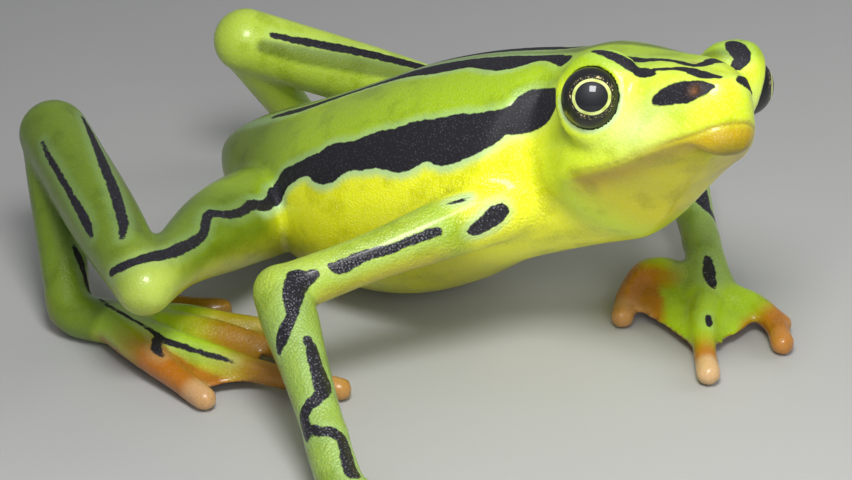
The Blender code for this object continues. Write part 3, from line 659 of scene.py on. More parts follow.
LEFT_NOSTRIL_SPOT = [(4.85, 0.42, -0.22, 0.12), (4.72, 0.68, -0.20, 0.27),
                     (4.49, 1.02, -0.23, 0.38)]

# On the limbs a row is the share of the way from joint to joint, the angle round it, the distance
# from its middle, and the half width
UPPER_ARM_STROKES = [
    [(0.24, -61, 1.32, 0.15), (0.21, -61, 1.33, 0.30), (0.165, -56, 1.36, 0.39),
     (0.12, -49, 1.40, 0.45), (0.09, -44, 1.42, 0.35)],
    [(0.80, -22, 1.08, 0.17), (0.773, -33, 1.07, 0.32), (0.735, -33, 1.06, 0.33),
     (0.68, -29, 1.06, 0.29), (0.62, -32, 1.07, 0.26), (0.56, -35, 1.09, 0.22),
     (0.50, -36, 1.14, 0.22), (0.43, -36, 1.19, 0.22), (0.38, -37, 1.24, 0.24),
     (0.358, -38, 1.25, 0.22)],
    [(0.28, 8, 1.39, 0.05), (0.25, 5, 1.42, 0.09), (0.225, 2, 1.44, 0.12), (0.19, 0, 1.47, 0.06)],
    [(0.871, -27, 1.11, 0.23), (0.907, -30, 1.12, 0.36), (0.948, -37, 1.28, 0.46)],
]
FOREARM_STROKES = [
    [(0.03, -34, 1.30, 0.48), (0.106, -18, 1.26, 0.50), (0.157, -10, 1.25, 0.41),
     (0.205, -3, 1.22, 0.30), (0.248, 9, 1.18, 0.30), (0.278, 25, 1.16, 0.35),
     (0.31, 40, 1.13, 0.33), (0.343, 56, 1.10, 0.18)],
    [(0.346, -20, 1.10, 0.22), (0.392, -24, 1.06, 0.30), (0.452, -23, 1.02, 0.33),
     (0.512, -25, 1.00, 0.40), (0.565, -28, 0.96, 0.44), (0.605, -21, 0.95, 0.33),
     (0.636, 3, 0.94, 0.29), (0.656, 32, 0.93, 0.29), (0.683, 52, 0.92, 0.33),
     (0.727, 57, 0.93, 0.31), (0.777, 57, 0.96, 0.20)],
    [(0.741, 50, 0.95, 0.25), (0.786, 16, 0.96, 0.23), (0.807, -14, 0.94, 0.27),
     (0.837, -34, 0.93, 0.31), (0.895, -35, 0.92, 0.32), (0.956, -31, 0.95, 0.34),
     (1.013, -30, 1.01, 0.36)],
]
THIGH_STROKES = [
    [(0.271, 152, 2.32, 0.34), (0.334, 150, 2.25, 0.30), (0.40, 160, 2.23, 0.29),
     (0.462, 160, 2.13, 0.25), (0.52, 165, 2.04, 0.25), (0.56, 174, 2.01, 0.26),
     (0.586, -176, 2.0, 0.26), (0.637, 180, 1.85, 0.24), (0.688, 169, 1.66, 0.24),
     (0.754, 166, 1.51, 0.27), (0.824, 170, 1.43, 0.31), (0.887, 174, 1.38, 0.34),
     (0.924, -178, 1.34, 0.36), (0.975, -170, 1.35, 0.36), (1.005, -160, 1.33, 0.33),
     (1.026, -147, 1.28, 0.30), (1.035, -118, 1.33, 0.28), (1.022, -92, 1.61, 0.20)],
]
SHANK_STROKES = [
    [(0.94, -152, 1.74, 0.16), (0.817, -158, 1.73, 0.24), (0.678, -167, 1.73, 0.28),
     (0.526, -176, 1.72, 0.30), (0.406, 178, 1.67, 0.30), (0.296, 170, 1.59, 0.28),
     (0.201, 161, 1.51, 0.24), (0.143, 148, 1.44, 0.14)],
    [(0.826, 114, 1.74, 0.10), (0.739, 111, 1.73, 0.17), (0.625, 112, 1.73, 0.18),
     (0.509, 111, 1.71, 0.18), (0.398, 110, 1.67, 0.23), (0.295, 107, 1.59, 0.26),
     (0.246, 103, 1.55, 0.14)],
]
# Painted shade: a dark olive strip along the far side of each shank, beside its stripe, laid out like a
# stroke.
SHANK_PAINTED_SHADE = [(0.96, -128, 1.74, 0.40), (0.82, -133, 1.73, 0.52), (0.68, -141, 1.73, 0.54),
               (0.53, -150, 1.72, 0.54), (0.40, -157, 1.67, 0.52), (0.28, -165, 1.58, 0.46),
               (0.18, -176, 1.48, 0.36)]
TARSUS_STROKES = [
    [(0.40, -70, 1.42, 0.12), (0.57, -76, 1.28, 0.18), (0.68, -88, 1.18, 0.20),
     (0.76, -100, 1.10, 0.22), (0.854, -120, 1.06, 0.22), (0.95, -130, 1.08, 0.18)],
]

# On a paw a row is the share of the way from its root towards one tip, the share towards another,
# the height above the floor, and the half width
FOOT_STROKES = [
    [(0.09, 0.13, 1.92, 0.12), (0.21, 0.124, 1.90, 0.14), (0.34, 0.115, 1.92, 0.14),
     (0.45, 0.128, 1.83, 0.15), (0.565, 0.142, 1.65, 0.18), (0.65, 0.195, 1.58, 0.14),
     (0.74, 0.27, 1.49, 0.13), (0.81, 0.36, 1.36, 0.08)],
    [(0.54, 0.12, 1.72, 0.18), (0.60, 0.06, 1.72, 0.25), (0.67, 0.0, 1.66, 0.24),
     (0.72, -0.01, 1.55, 0.12)],
]
HAND_STROKES = [
    [(0.075, -0.027, 2.71, 0.18), (0.12, 0.0, 2.43, 0.30), (0.167, 0.02, 2.12, 0.30),
     (0.187, 0.089, 1.84, 0.12)],
    [(0.54, 0.004, 1.59, 0.12), (0.60, 0.004, 1.50, 0.20), (0.63, 0.004, 1.46, 0.14)],
]


FAR_OUTSIDE = -9.0


def depth_in_stroke(points, rows):
    """How deep each point lies in a stroke: the half width at the nearest place less the distance."""
    rows = smooth_through(rows, 4)
    best = np.full(len(points), FAR_OUTSIDE)
    middle = rows[:, :3].mean(axis=0)
    reach = np.linalg.norm(rows[:, :3] - middle, axis=1).max() + 3.0
    close = np.flatnonzero(np.linalg.norm(points - middle, axis=1) < reach)
    here = points[close]
    for start, end in zip(rows[:-1], rows[1:]):
        way = end[:3] - start[:3]
        t = np.clip((here - start[:3]) @ way / (way @ way), 0.0, 1.0)
        distance = np.linalg.norm(here - start[:3] - t[:, None] * way, axis=1)
        best[close] = np.maximum(best[close], start[3] + t * (end[3] - start[3]) - distance)
    return best


def round_limb(rows, start, end, joints, side):
    """Stroke rows on a limb from start to end, set round it from the normal of its joints' plane.

    The place is the share of the way, plus the distance times cos(angle) of the normal and
    sin(angle) of the normal turned a quarter about the limb. The left is the mirror of the right.
    """
    hand = 1.0 if side == "right" else -1.0
    rows = np.array(rows, float)
    along = (end - start) / np.linalg.norm(end - start)
    normal = hand * np.cross(joints[1] - joints[0], joints[2] - joints[1])
    normal = normal / np.linalg.norm(normal)
    across = hand * np.cross(along, normal)
    angle = np.radians(rows[:, 1:2])
    out = np.cos(angle) * normal + np.sin(angle) * across
    spots = start + rows[:, :1] * (end - start) + rows[:, 2:3] * out
    return np.column_stack([spots, rows[:, 3]])


def flat_on_paw(rows, root, one, other):
    """Stroke rows on a paw: the root plus the two shares of the ways to one tip and to another."""
    rows = np.array(rows)
    to_one, to_other = (np.array(tip)[:2] - root[:2] for tip in (one, other))
    level = np.array(root)[:2] + rows[:, :1] * to_one + rows[:, 1:2] * to_other
    return np.column_stack([level, rows[:, 2:]])


on_body = (body - HIPS_MIDDLE) @ TRUNK_TURN
near = in_head(body)
strokes, painted_shade_strokes = [], []        # pairs of the points in a stroke's own axes and its rows
for hand, side in ((-1.0, "right"), (1.0, "left")):
    flip = np.array([1.0, hand, 1.0, 1.0])
    strokes += [(on_body, np.array(rows) * flip) for rows in (SIDE_BAND, BACK_LINE)]
    strokes += [(near, np.array(NOSTRIL_PATCH) * flip), (near, BROW_STRIPE[side])]
    arm_joints = (SHOULDERS[side], ELBOWS[side], WRISTS[side])
    leg_joints = (HIPS[side], KNEES[side], HEELS[side])
    low_joints = (KNEES[side], HEELS[side], ANKLES[side])
    forearm_strokes = FOREARM_STROKES if side == "right" else FOREARM_STROKES[:2]
    for found, drawn, first, joints in ((UPPER_ARM_STROKES, strokes, 0, arm_joints),
                                        (forearm_strokes, strokes, 1, arm_joints),
                                        (THIGH_STROKES, strokes, 0, leg_joints),
                                        (SHANK_STROKES, strokes, 1, leg_joints),
                                        (TARSUS_STROKES, strokes, 1, low_joints),
                                        ([SHANK_PAINTED_SHADE], painted_shade_strokes, 1, leg_joints)):
        drawn.extend((body, round_limb(rows, joints[first], joints[first + 1], joints, side))
                     for rows in found)
    strokes += [(body, flat_on_paw(rows, ANKLES[side], TOES[side][4], TOES[side][0]))
                for rows in FOOT_STROKES]
strokes += [(body, flat_on_paw(rows, WRISTS["left"], FINGERS["left"][1], FINGERS["left"][2]))
            for rows in HAND_STROKES]
strokes += [(near, rows) for rows in (CROWN_LINE, SNOUT_LINE, LEFT_NOSTRIL_SPOT)]
mark = np.maximum.reduce([depth_in_stroke(points, rows) for points, rows in strokes])
mark = np.maximum(mark, -3.0)
shank_painted_shade = np.maximum.reduce([depth_in_stroke(points, rows) for points, rows in painted_shade_strokes])

# Colours of the skin. Lime above, lemon on the flanks, breast and belly, golden on the throat, paler
# on the arms and knees, orange on the hands and feet with pale tips, and olive on the back and rump.
# Light and shade are painted in as well: darker on the underside of the belly, on the rump, the right
# leg, a strip of each shank, under the lip, in the mouth's crease and on the inner toes, and paler on
# the left leg, the knees, the cheeks, one fingertip and the tops of the granules.


def shade(red, green, blue):
    """Linear value of a screen colour: c / 12.92 when dark, else ((c + 0.055) / 1.055)^2.4."""
    c = np.array([red, green, blue]) / 255.0
    return np.where(c <= 0.04045, c / 12.92, ((c + 0.055) / 1.055) ** 2.4)


LIME = shade(164, 196, 16)
PALE_LIME = shade(172, 196, 60)
ARM_LIME = shade(146, 174, 72)
LEMON = shade(240, 244, 30)
FACE_LIME = shade(214, 236, 36)
# pale cheek colour that also stands for a painted sheen
PALE_CHEEK_AND_SHEEN = shade(226, 244, 150)
GOLD = shade(214, 188, 0)
# deep gold under the lip, partly painted shade
LIP_SHADE_GOLD = shade(184, 150, 0)
CHIN_GOLD = shade(136, 122, 0)
OLIVE = shade(84, 102, 22)
ORANGE = shade(178, 104, 0)
# brown orange, also painted shade on the inner toes
BROWN_ORANGE_AND_SHADE = shade(120, 88, 20)
TIP = shade(208, 176, 128)
# painted light and shade: the right leg is tinted darker and the left paler, one skin in two lit copies
LEG_LIME_PAINTED_LIGHT = {"right": shade(104, 130, 18), "left": shade(184, 210, 66)}
# pale knee colour that also stands for a painted highlight
KNEE_PALE_AND_HIGHLIGHT = shade(184, 204, 84)
# painted shade for the crease of the mouth
MOUTH_CREASE_SHADE = shade(150, 118, 30)
RUST = shade(150, 98, 46)
# gold of the belly, darkened as painted shade for its underside
BELLY_SHADE_GOLD = shade(160, 158, 0)
RIM_MINT = shade(196, 226, 176)
FRINGE_MINT = shade(176, 214, 168)
CHARCOAL = shade(24, 21, 29)
# painted highlight on the granules of the black
GRANULE_HIGHLIGHT_GREY = shade(132, 133, 150)
CHEEK_MIDDLE = [1.6, 2.7, -1.5]         # in the head's axes
SNOUT_FLECK = [2.5, -0.1, 0.84]
KNEE_PALE_AT = [0.7, 0.0, -0.3]         # from the knee's joint
HEEL_SPOT_AT = [-0.9, 0.0, -0.6]        # from the ankle's joint


def blended(colours, colour, weight):
    """The colours drawn towards one colour by a weight for each point."""
    return colours + (colour - colours) * weight[:, None]


tint = np.tile(LIME, (len(body), 1))
band = np.array(SIDE_BAND[::-1])
low_edge = np.interp(on_body[:, 0], band[:, 0], band[:, 2] - band[:, 3])
beside_trunk = np.hypot(on_body[:, 1] / 6.6, (on_body[:, 2] + 0.5) / 5.6)
on_trunk_skin = 1.0 - step(beside_trunk, 1.02, 1.2)
below_band = step(low_edge + 0.3 - on_body[:, 2], -0.5, 0.7) * step(on_body[:, 0], -2.5, 1.5)
tint = blended(tint, LEMON, below_band * on_trunk_skin)
back = (1.0 - step(np.abs(on_body[:, 1]), 0.3, 0.75)) * step(on_body[:, 2], 1.0, 2.0)
tint = blended(tint, OLIVE, 0.75 * back * on_trunk_skin)
# The rump is darker olive, partly its own colour and partly painted shade where the light falls off to
# the rear.
rump = (1.0 - step(on_body[:, 0], -1.0, 5.0)) * step(on_body[:, 2], -1.0, 1.5) * on_trunk_skin
tint = blended(tint, OLIVE, 0.8 * rump)
lower = 1.0 - step(outward(skin.data)[:, 2], -0.55, 0.25)
# The down-facing belly is golden and darker, partly its own gold and partly painted shade beneath it.
belly = lower * on_trunk_skin * (1.0 - step(on_body[:, 0], 13.0, 16.0))
tint = blended(tint, BELLY_SHADE_GOLD, 0.75 * belly)

face = mirrored(near)
of_head = step(near[:, 0], -5.5, -3.2) * (np.linalg.norm(near, axis=1) < 9.5)
tint = blended(tint, FACE_LIME, of_head * (1.0 - step(near[:, 2], 0.5, 1.5)))
# Below and before each eye the cheek is pale and bluish, partly its own pale skin and partly a painted
# sheen.
from_cheek = (face - CHEEK_MIDDLE) * [0.8, 1.0, 1.3]
tint = blended(tint, PALE_CHEEK_AND_SHEEN, 0.85 * bump(np.linalg.norm(from_cheek, axis=1), 1.5) * of_head)
mouth, _, mouth_place = near_chain(face, MOUTH_LINE)
below_mouth = mouth_place[:, 2] - face[:, 2]
under_lip = step(below_mouth, 0.05, 0.7) * of_head * step(near[:, 0], -3.6, -1.5)
tint = blended(tint, GOLD, 0.62 * under_lip)
tint = blended(tint, CHIN_GOLD, under_lip * step(near[:, 0], 2.4, 4.2))
# A deep gold band just under the mouth line, partly golden skin and partly painted shade of the upper
# lip.
lip_shade_band = bump(below_mouth - 0.42, 0.5) * bump(mouth, 1.1) * of_head * mouth_end
tint = blended(tint, LIP_SHADE_GOLD, 0.95 * lip_shade_band)
tint = blended(tint, GOLD, 0.5 * bump(near_chain(face, JAW_FOLD)[0], 0.45) * of_head)
# Painted shade: a thin brown line in the crease of the mouth.
tint = blended(tint, MOUTH_CREASE_SHADE, 0.75 * bump(mouth, 0.07) * step(near[:, 0], -2.3, -1.2))
tint = blended(tint, RUST, 0.8 * bump(np.linalg.norm(near - SNOUT_FLECK, axis=1), 0.22))

arm_near = {}                   # 1 on each arm's skin and 0 away from it
for side in ("right", "left"):
    arm_way, arm_share, _ = near_chain(body, [SHOULDERS[side], ELBOWS[side], WRISTS[side]])
    arm_near[side] = 1.0 - step(arm_way, 1.5, 2.2)
    of_arm = arm_near[side] * step(arm_share, 0.10, 0.22)
    tint = blended(tint, PALE_LIME, of_arm)
    tint = blended(tint, ARM_LIME, of_arm * step(arm_share, 0.46, 0.62))
    tint = blended(tint, GOLD, 0.6 * of_arm * lower * (1.0 - step(arm_share, 0.45, 0.75)))
    leg_way, leg_share, _ = near_chain(body, [HIPS[side], KNEES[side], HEELS[side], ANKLES[side]])
    of_leg = (1.0 - step(leg_way, 2.2, 2.9)) * step(leg_share, 0.06, 0.14)
    # Each leg takes its own lime: darker on the right as painted shade, paler on the left as painted
    # light.
    tint = blended(tint, LEG_LIME_PAINTED_LIGHT[side], of_leg)
    tint = blended(tint, LEMON, 0.6 * of_leg * lower * (1.0 - step(leg_share, 0.28, 0.4)))
    # Each knee is paler, partly its own pale skin and partly a painted highlight.
    knee = bump(np.linalg.norm(body - KNEES[side] - KNEE_PALE_AT, axis=1), 1.9)
    tint = blended(tint, KNEE_PALE_AND_HIGHLIGHT, np.minimum(1.2 * knee, 1.0))

# Orange of each digit from the innermost: where along it the orange starts, how strong it is, how
# far it is drawn to brown, and how pale the tip is. The second finger's very pale tip is partly a
# painted highlight, and the brown of the inner toes is partly painted shade.
DIGIT_LOOKS = {
    "hand": [(-0.1, 0.95, 0.15, 0.3), (0.45, 0.95, 0.0, 0.8), (0.28, 0.95, 0.0, 0.12),
             (0.28, 0.95, 0.0, 0.12)],
    "foot": [(0.10, 0.85, 0.5, 0.1), (0.30, 0.5, 0.6, 0.1), (0.15, 0.85, 0.5, 0.1),
             (0.30, 0.9, 0.2, 0.2), (0.08, 1.0, 0.1, 0.6)],
}
for (paw, side), paths in digit_paths.items():
    found = [near_chain(body, path)[:2] for path in paths]
    ways = np.array([way for way, share in found])
    weight = (ways + 0.25) ** -5.0
    weight = weight / weight.sum(axis=0)
    share = (np.array([share for way, share in found]) * weight).sum(axis=0)
    starts, strengths, browns_and_shade, pales_and_highlight = np.array(DIGIT_LOOKS[paw]).T @ weight
    of_paw = (1.0 - step(ways.min(axis=0), 1.7, 2.3)) * (1.0 - step(body[:, 2], 1.7, 2.3))
    orange = step(share, starts, starts + 0.38) * strengths
    orange = np.maximum(orange, 0.9 * lower * step(share, 0.0, 0.12)) * of_paw
    tint = blended(tint, ORANGE, orange)
    # Brown on the thumb is its own colour; on the inner toes it is partly painted shade under the
    # thigh.
    tint = blended(tint, BROWN_ORANGE_AND_SHADE, orange * browns_and_shade)
    # Pale tips, and on the second finger a much paler tip that is partly a painted highlight.
    tint = blended(tint, TIP, pales_and_highlight * step(share, 0.80, 0.93) * of_paw)
for side in ("right", "left"):
    heel_spot = bump(np.linalg.norm(body - ANKLES[side] - HEEL_SPOT_AT, axis=1), 0.9)
    tint = blended(tint, ORANGE, 0.8 * heel_spot)
# Painted shade: the far side of each shank is tinted olive.
tint = blended(tint, OLIVE, 0.75 * step(shank_painted_shade, -0.12, 0.2))

rim_near = np.zeros(len(body))
for hand in (-1.0, 1.0):
    from_eye, out, _, beside = round_lid(near, hand)
    edge = bump(beside - lid_frame(hand)[2] - 0.10, 0.11) * (out > 0.0)
    rim_near = np.maximum(rim_near, edge * step(-from_eye[:, 2], -0.7, 0.2))
tint = blended(tint, RIM_MINT, 0.8 * rim_near)

# Fringe of pale skin beside the black, how strong the granules stand, and the damp nostrils
before_neck = on_trunk_skin * (1.0 - step(on_body[:, 0], 16.0, 19.0))
fringe = 0.14 + (0.26 + 0.34 * step(low_edge + 0.6 - on_body[:, 2], -0.2, 0.4)) * before_neck
grain = 0.35 + 0.65 * step(np.maximum(arm_near["right"], arm_near["left"]), 0.2, 0.8)
nostril_wet = bump(np.linalg.norm(face - NOSTRIL, axis=1), 0.26)


def carried(item, name, values):
    """Keeps a value or a colour for each point of a piece under a name that its material reads."""
    kind, field = ("FLOAT", "value") if np.ndim(values) == 1 else ("FLOAT_COLOR", "color")
    if kind == "FLOAT_COLOR":
        values = np.column_stack([values, np.ones(len(values))])
    kept = item.data.attributes.new(name, kind, "POINT")
    kept.data.foreach_set(field, np.ascontiguousarray(values).ravel())


for name, values in (("mark", mark), ("tint", tint), ("fringe", fringe), ("grain", grain),
                     ("wet", nostril_wet)):
    carried(skin, name, values)


def node(tree, kind, settings=None, **inputs):
    """A node of a kind, with its settings, and numbers, colours or other outputs on its inputs."""
    made = tree.nodes.new("ShaderNode" + kind)
    for name, value in (settings or {}).items():
        setattr(made, name, value)
    for name, value in inputs.items():
        socket = made.inputs[int(name[1:]) if name[1:].isdigit() else name.replace("_", " ")]
        if isinstance(value, bpy.types.NodeSocket):
            tree.links.new(value, socket)
        else:
            socket.default_value = value
    return made


def attribute(tree, name, output="Fac"):
    """The value or colour that a piece carries under a name."""
    return node(tree, "Attribute", {"attribute_name": name}).outputs[output]


def sums(tree, operation, one, other=0.0):
    """One step of arithmetic on two values."""
    return node(tree, "Math", {"operation": operation}, _0=one, _1=other).outputs[0]


def eased(tree, value, low, high):
    """A mask that rises smoothly from 0 at low to 1 at high."""
    return node(tree, "MapRange", {"interpolation_type": "SMOOTHSTEP"},
                Value=value, From_Min=low, From_Max=high).outputs[0]


def mixed(tree, one, other, share):
    """A colour between two by a share."""
    made = node(tree, "Mix", {"data_type": "RGBA"})
    for socket, value in ((made.inputs[0], share), (made.inputs[6], one), (made.inputs[7], other)):
        if isinstance(value, bpy.types.NodeSocket):
            tree.links.new(value, socket)
        else:
            socket.default_value = value
    return made.outputs[2]


def solid_colour(colour):
    """A linear colour with full cover."""
    return (*[float(c) for c in colour], 1.0)


def skin_material():
    """Living skin: carried tint, softly mottled, sharp uneven black with a pale fringe, wet granules.

    The black starts where the carried depth plus a small noise passes nothing. Granules are round
    cells about an eighth of a millimetre apart, and height is one less the distance in a cell. The
    black of the trunk is smoother and duller than that of the arms. The tops of the granules carry
    painted highlights: a paler tint on the coloured skin and grey on the black, most on the arms.
    """
    look = bpy.data.materials.new("toad_skin")
    look.use_nodes = True
    tree = look.node_tree
    shader = tree.nodes["Principled BSDF"]
    place = node(tree, "TexCoord").outputs["Object"]
    edge_noise = node(tree, "TexNoise", Vector=place, Scale=3200.0, Detail=2.0).outputs[0]
    mottle = node(tree, "TexNoise", Vector=place, Scale=700.0, Detail=3.0).outputs[0]
    cells = node(tree, "TexVoronoi", Vector=place, Scale=7600.0, Randomness=0.8).outputs["Distance"]
    fine = node(tree, "TexNoise", Vector=place, Scale=11000.0, Detail=1.0).outputs[0]
    granule = sums(tree, "SUBTRACT", 1.0, sums(tree, "MULTIPLY", cells, 1.3))
    shaken = sums(tree, "MULTIPLY", sums(tree, "SUBTRACT", edge_noise, 0.5), 0.20)
    depth = sums(tree, "ADD", attribute(tree, "mark"), shaken)
    black = eased(tree, depth, -0.035, 0.045)
    beside = sums(tree, "MULTIPLY", eased(tree, depth, -0.55, -0.02), attribute(tree, "fringe"))
    base = attribute(tree, "tint", "Color")
    darker = node(tree, "HueSaturation", Saturation=1.05, Value=0.80, Color=base).outputs[0]
    granule_highlight = node(tree, "HueSaturation", Saturation=0.82, Value=1.14, Color=base).outputs[0]
    even = mixed(tree, darker, base, eased(tree, mottle, 0.30, 0.52))
    # Painted highlight: the tops of the granules are drawn towards a paler copy of the tint.
    even = mixed(tree, even, granule_highlight, sums(tree, "MULTIPLY", eased(tree, granule, 0.35, 0.85), 0.42))
    even = mixed(tree, even, solid_colour(FRINGE_MINT), beside)
    # Painted highlight: on the black the tops of the granules are grey.
    charcoal = mixed(tree, solid_colour(CHARCOAL), solid_colour(GRANULE_HIGHLIGHT_GREY),
                     sums(tree, "MULTIPLY", eased(tree, granule, 0.58, 0.98), attribute(tree, "grain")))
    colour = mixed(tree, even, charcoal, black)
    nostril_share = sums(tree, "MULTIPLY", attribute(tree, "wet"), 0.75)
    colour = mixed(tree, colour, solid_colour(RUST), nostril_share)
    tree.links.new(colour, shader.inputs["Base Color"])
    height = sums(tree, "ADD", sums(tree, "MULTIPLY", granule, attribute(tree, "grain")),
                  sums(tree, "MULTIPLY", fine, 0.25))
    raised = node(tree, "Bump", Strength=0.6, Distance=0.00006, Height=height).outputs[0]
    tree.links.new(raised, shader.inputs["Normal"])
    dull = sums(tree, "MULTIPLY", black, sums(tree, "SUBTRACT", 1.0, attribute(tree, "grain")))
    rough = node(tree, "MapRange", Value=mottle, From_Min=0.3, From_Max=0.7,
                 To_Min=0.36, To_Max=0.5).outputs[0]
    rough = sums(tree, "ADD", rough, sums(tree, "MULTIPLY", dull, 0.4))
    tree.links.new(rough, shader.inputs["Roughness"])
    shader.inputs["Subsurface Weight"].default_value = 0.15
    shader.inputs["Subsurface Radius"].default_value = (1.0, 0.8, 0.25)
    shader.inputs["Subsurface Scale"].default_value = 0.0004
    wet = sums(tree, "SUBTRACT", 0.4, sums(tree, "MULTIPLY", dull, 0.6))
    tree.links.new(wet, shader.inputs["Coat Weight"])
    shader.inputs["Coat Roughness"].default_value = 0.16
    return look


skin.data.materials.append(skin_material())

# Eyes. Each is a glossy ball behind its lids: a large dark pupil, a thin pale-gold ring round it and
# a black iris flecked with gold. Its mesh has a pole on the axis of the pupil.

IRIS_WAY = {"right": (0.85, -0.52, -0.03), "left": (0.30, 0.95, -0.10)}
PUPIL_EDGE = 0.70               # along the ball from the middle of the pupil
RING_EDGE = 0.86
# painted reflection: the pupil is black with a faint blue
PUPIL_REFLECTION_BLUE = shade(8, 10, 18)
RING_PALE = shade(212, 224, 140)
RING_GREEN = shade(186, 196, 96)
IRIS_BLACK = shade(8, 7, 9)
FLECK_GOLD = shade(214, 196, 140)


def eyeball(side):
    """Ball of the eye's radius in the head's axes, with its pole where the pupil looks.

    Also gives for each point its distance along the ball from the pole, with the sideways part
    shortened and the upright part lengthened a little, because the pupil is a flat oval.
    """
    hand = -1.0 if side == "right" else 1.0
    way = np.array(IRIS_WAY[side]) / np.linalg.norm(IRIS_WAY[side])
    level = np.cross([0.0, 0.0, 1.0], way)
    level = level / np.linalg.norm(level)
    upright = np.cross(way, level)
    theta = np.linspace(0.0, np.pi, 72)[:, None]
    phi = np.linspace(0.0, 2.0 * np.pi, 96, endpoint=False)[None, :]
    ahead = (np.cos(theta) + 0 * phi)[..., None]
    wide = (np.sin(theta) * np.cos(phi))[..., None]
    high = (np.sin(theta) * np.sin(phi))[..., None]
    ball = ahead * way + wide * level + high * upright
    rings = on_head(ball * EYE_RADIUS + [0.0, hand * EYE_SPREAD, 0.0])
    out = EYE_RADIUS * theta * np.hypot(0.955 * np.cos(phi), 1.045 * np.sin(phi))
    return rings, out.ravel()


def eye_material():
    """Wet eye: black pupil, painted blue reflection, pale-gold ring, black iris with gold flecks by the
    ring.
    """
    look = bpy.data.materials.new("wet_eye")
    look.use_nodes = True
    tree = look.node_tree
    shader = tree.nodes["Principled BSDF"]
    place = node(tree, "TexCoord").outputs["Object"]
    out = attribute(tree, "from_pupil")
    wave = node(tree, "TexNoise", Vector=place, Scale=2600.0, Detail=1.0).outputs[0]
    shaken = sums(tree, "ADD", out, sums(tree, "MULTIPLY", sums(tree, "SUBTRACT", wave, 0.5), 0.05))
    inside = eased(tree, shaken, PUPIL_EDGE - 0.012, PUPIL_EDGE + 0.02)
    outside = eased(tree, shaken, RING_EDGE - 0.02, RING_EDGE + 0.012)
    flecks = node(tree, "TexNoise", Vector=place, Scale=9000.0, Detail=2.0, Distortion=1.5).outputs[0]
    band = sums(tree, "MULTIPLY", eased(tree, out, RING_EDGE, RING_EDGE + 0.10),
                sums(tree, "SUBTRACT", 1.0, eased(tree, out, RING_EDGE + 0.10, RING_EDGE + 0.30)))
    gold = sums(tree, "MULTIPLY", eased(tree, flecks, 0.58, 0.64), band)
    iris = mixed(tree, solid_colour(IRIS_BLACK), solid_colour(FLECK_GOLD), gold)
    ring = mixed(tree, solid_colour(RING_PALE), solid_colour(RING_GREEN), eased(tree, wave, 0.4, 0.65))
    colour = mixed(tree, solid_colour(PUPIL_REFLECTION_BLUE), ring, inside)
    colour = mixed(tree, colour, iris, outside)
    tree.links.new(colour, shader.inputs["Base Color"])
    shader.inputs["Roughness"].default_value = 0.6
    shader.inputs["Coat Weight"].default_value = 0.6
    shader.inputs["Coat Roughness"].default_value = 0.02
    return look


wet_eye = eye_material()
for side in ("right", "left"):
    rings, out = eyeball(side)
    eye = joined("eyeball_" + side, [shell(rings)])
    put_places(eye.data, (places(eye.data) + STAND) * MM)
    carried(eye, "from_pupil", out)
    ends = bmesh.new()
    ends.from_mesh(eye.data)
    bmesh.ops.remove_doubles(ends, verts=ends.verts, dist=1e-7)
    bmesh.ops.recalc_face_normals(ends, faces=ends.faces)
    ends.to_mesh(eye.data)
    ends.free()
    eye.data.shade_smooth()
    eye.data.materials.append(wet_eye)
    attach(eye, "root")
    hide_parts("eye_" + side)

# Floor, light and camera. A plain pale floor, a camera at the height and side from which the
# animal is seen, and four soft boxes: from above the camera, from the right, from behind, and low
# in front.

CAMERA_AZIMUTH = 37.7
CAMERA_ELEVATION = 23.8
CAMERA_DISTANCE = 110.0
CAMERA_TARGET = np.array([-6.2, -1.0, 3.1])
CAMERA_ROLL = 0.7
FOCAL = 94.86
FLOOR_GREY = (0.42, 0.42, 0.41, 1)
SKY_WHITE = (0.85, 0.88, 0.92, 1)

floor_mesh = bpy.data.meshes.new("floor")
floor_corners = [(-1.5, -1.5, 0), (1.5, -1.5, 0), (1.5, 1.5, 0), (-1.5, 1.5, 0)]
floor_mesh.from_pydata(floor_corners, [], [(0, 1, 2, 3)])
floor = bpy.data.objects.new("floor", floor_mesh)
bpy.context.scene.collection.objects.link(floor)
floor_look = bpy.data.materials.new("pale_floor")
floor_look.use_nodes = True
floor_shader = floor_look.node_tree.nodes["Principled BSDF"]
floor_shader.inputs["Base Color"].default_value = FLOOR_GREY
floor_shader.inputs["Roughness"].default_value = 0.8
floor_mesh.materials.append(floor_look)

world = bpy.data.worlds.new("studio")
world.use_nodes = True
world.node_tree.nodes["Background"].inputs["Color"].default_value = SKY_WHITE
world.node_tree.nodes["Background"].inputs["Strength"].default_value = 0.24
bpy.context.scene.world = world

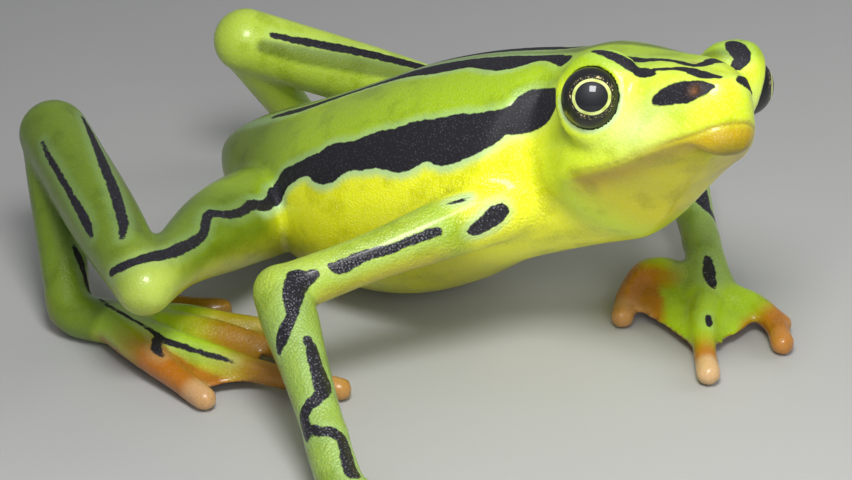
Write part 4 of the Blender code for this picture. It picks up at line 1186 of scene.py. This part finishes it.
azimuth, elevation, roll = np.radians([CAMERA_AZIMUTH, CAMERA_ELEVATION, CAMERA_ROLL])
toward = np.array([np.sin(azimuth) * np.cos(elevation), -np.cos(azimuth) * np.cos(elevation),
                   np.sin(elevation)])
right = np.array([np.cos(azimuth), np.sin(azimuth), 0.0])
up = np.cross(toward, right)
camera_right = np.cos(roll) * right - np.sin(roll) * up
camera_up = np.sin(roll) * right + np.cos(roll) * up
camera = bpy.data.objects.new("camera", bpy.data.cameras.new("camera"))
bpy.context.scene.collection.objects.link(camera)
camera.data.lens = FOCAL
camera.data.clip_start = 0.001
placed = np.eye(4)
placed[:3, 0], placed[:3, 1], placed[:3, 2] = camera_right, camera_up, toward
placed[:3, 3] = (CAMERA_TARGET + STAND + toward * CAMERA_DISTANCE) * MM
camera.matrix_world = placed.T
bpy.context.scene.camera = camera
bpy.context.scene.view_settings.view_transform = "Standard"


def soft_box(name, way, distance, size, power, mirrored_in_gloss=True):
    """A square area light at a distance along a way from the head, facing it."""
    light = bpy.data.lights.new(name, "AREA")
    light.shape = "SQUARE"
    light.size = size * MM
    light.energy = power
    item = bpy.data.objects.new(name, light)
    bpy.context.scene.collection.objects.link(item)
    way = np.array(way, float)
    way = way / np.linalg.norm(way)
    side = np.cross([0.0, 0.0, 1.0], way)
    side = side / np.linalg.norm(side)
    turn = np.eye(4)
    turn[:3, 0], turn[:3, 1], turn[:3, 2] = side, np.cross(way, side), way
    turn[:3, 3] = (HEAD_MIDDLE + STAND + way * distance) * MM
    item.matrix_world = turn.T
    item.visible_glossy = mirrored_in_gloss


soft_box("main_box", 0.863 * toward - 0.10 * right + 0.494 * up, 75.0, 28.0, 0.064)
soft_box("side_box", -0.06 * toward + 0.873 * right + 0.486 * up, 110.0, 60.0, 0.034, False)
soft_box("back_box", -0.70 * toward + 0.16 * right + 0.70 * up, 200.0, 140.0, 0.09, False)
soft_box("low_box", 0.90 * toward + 0.10 * right - 0.10 * up, 90.0, 44.0, 0.030, False)
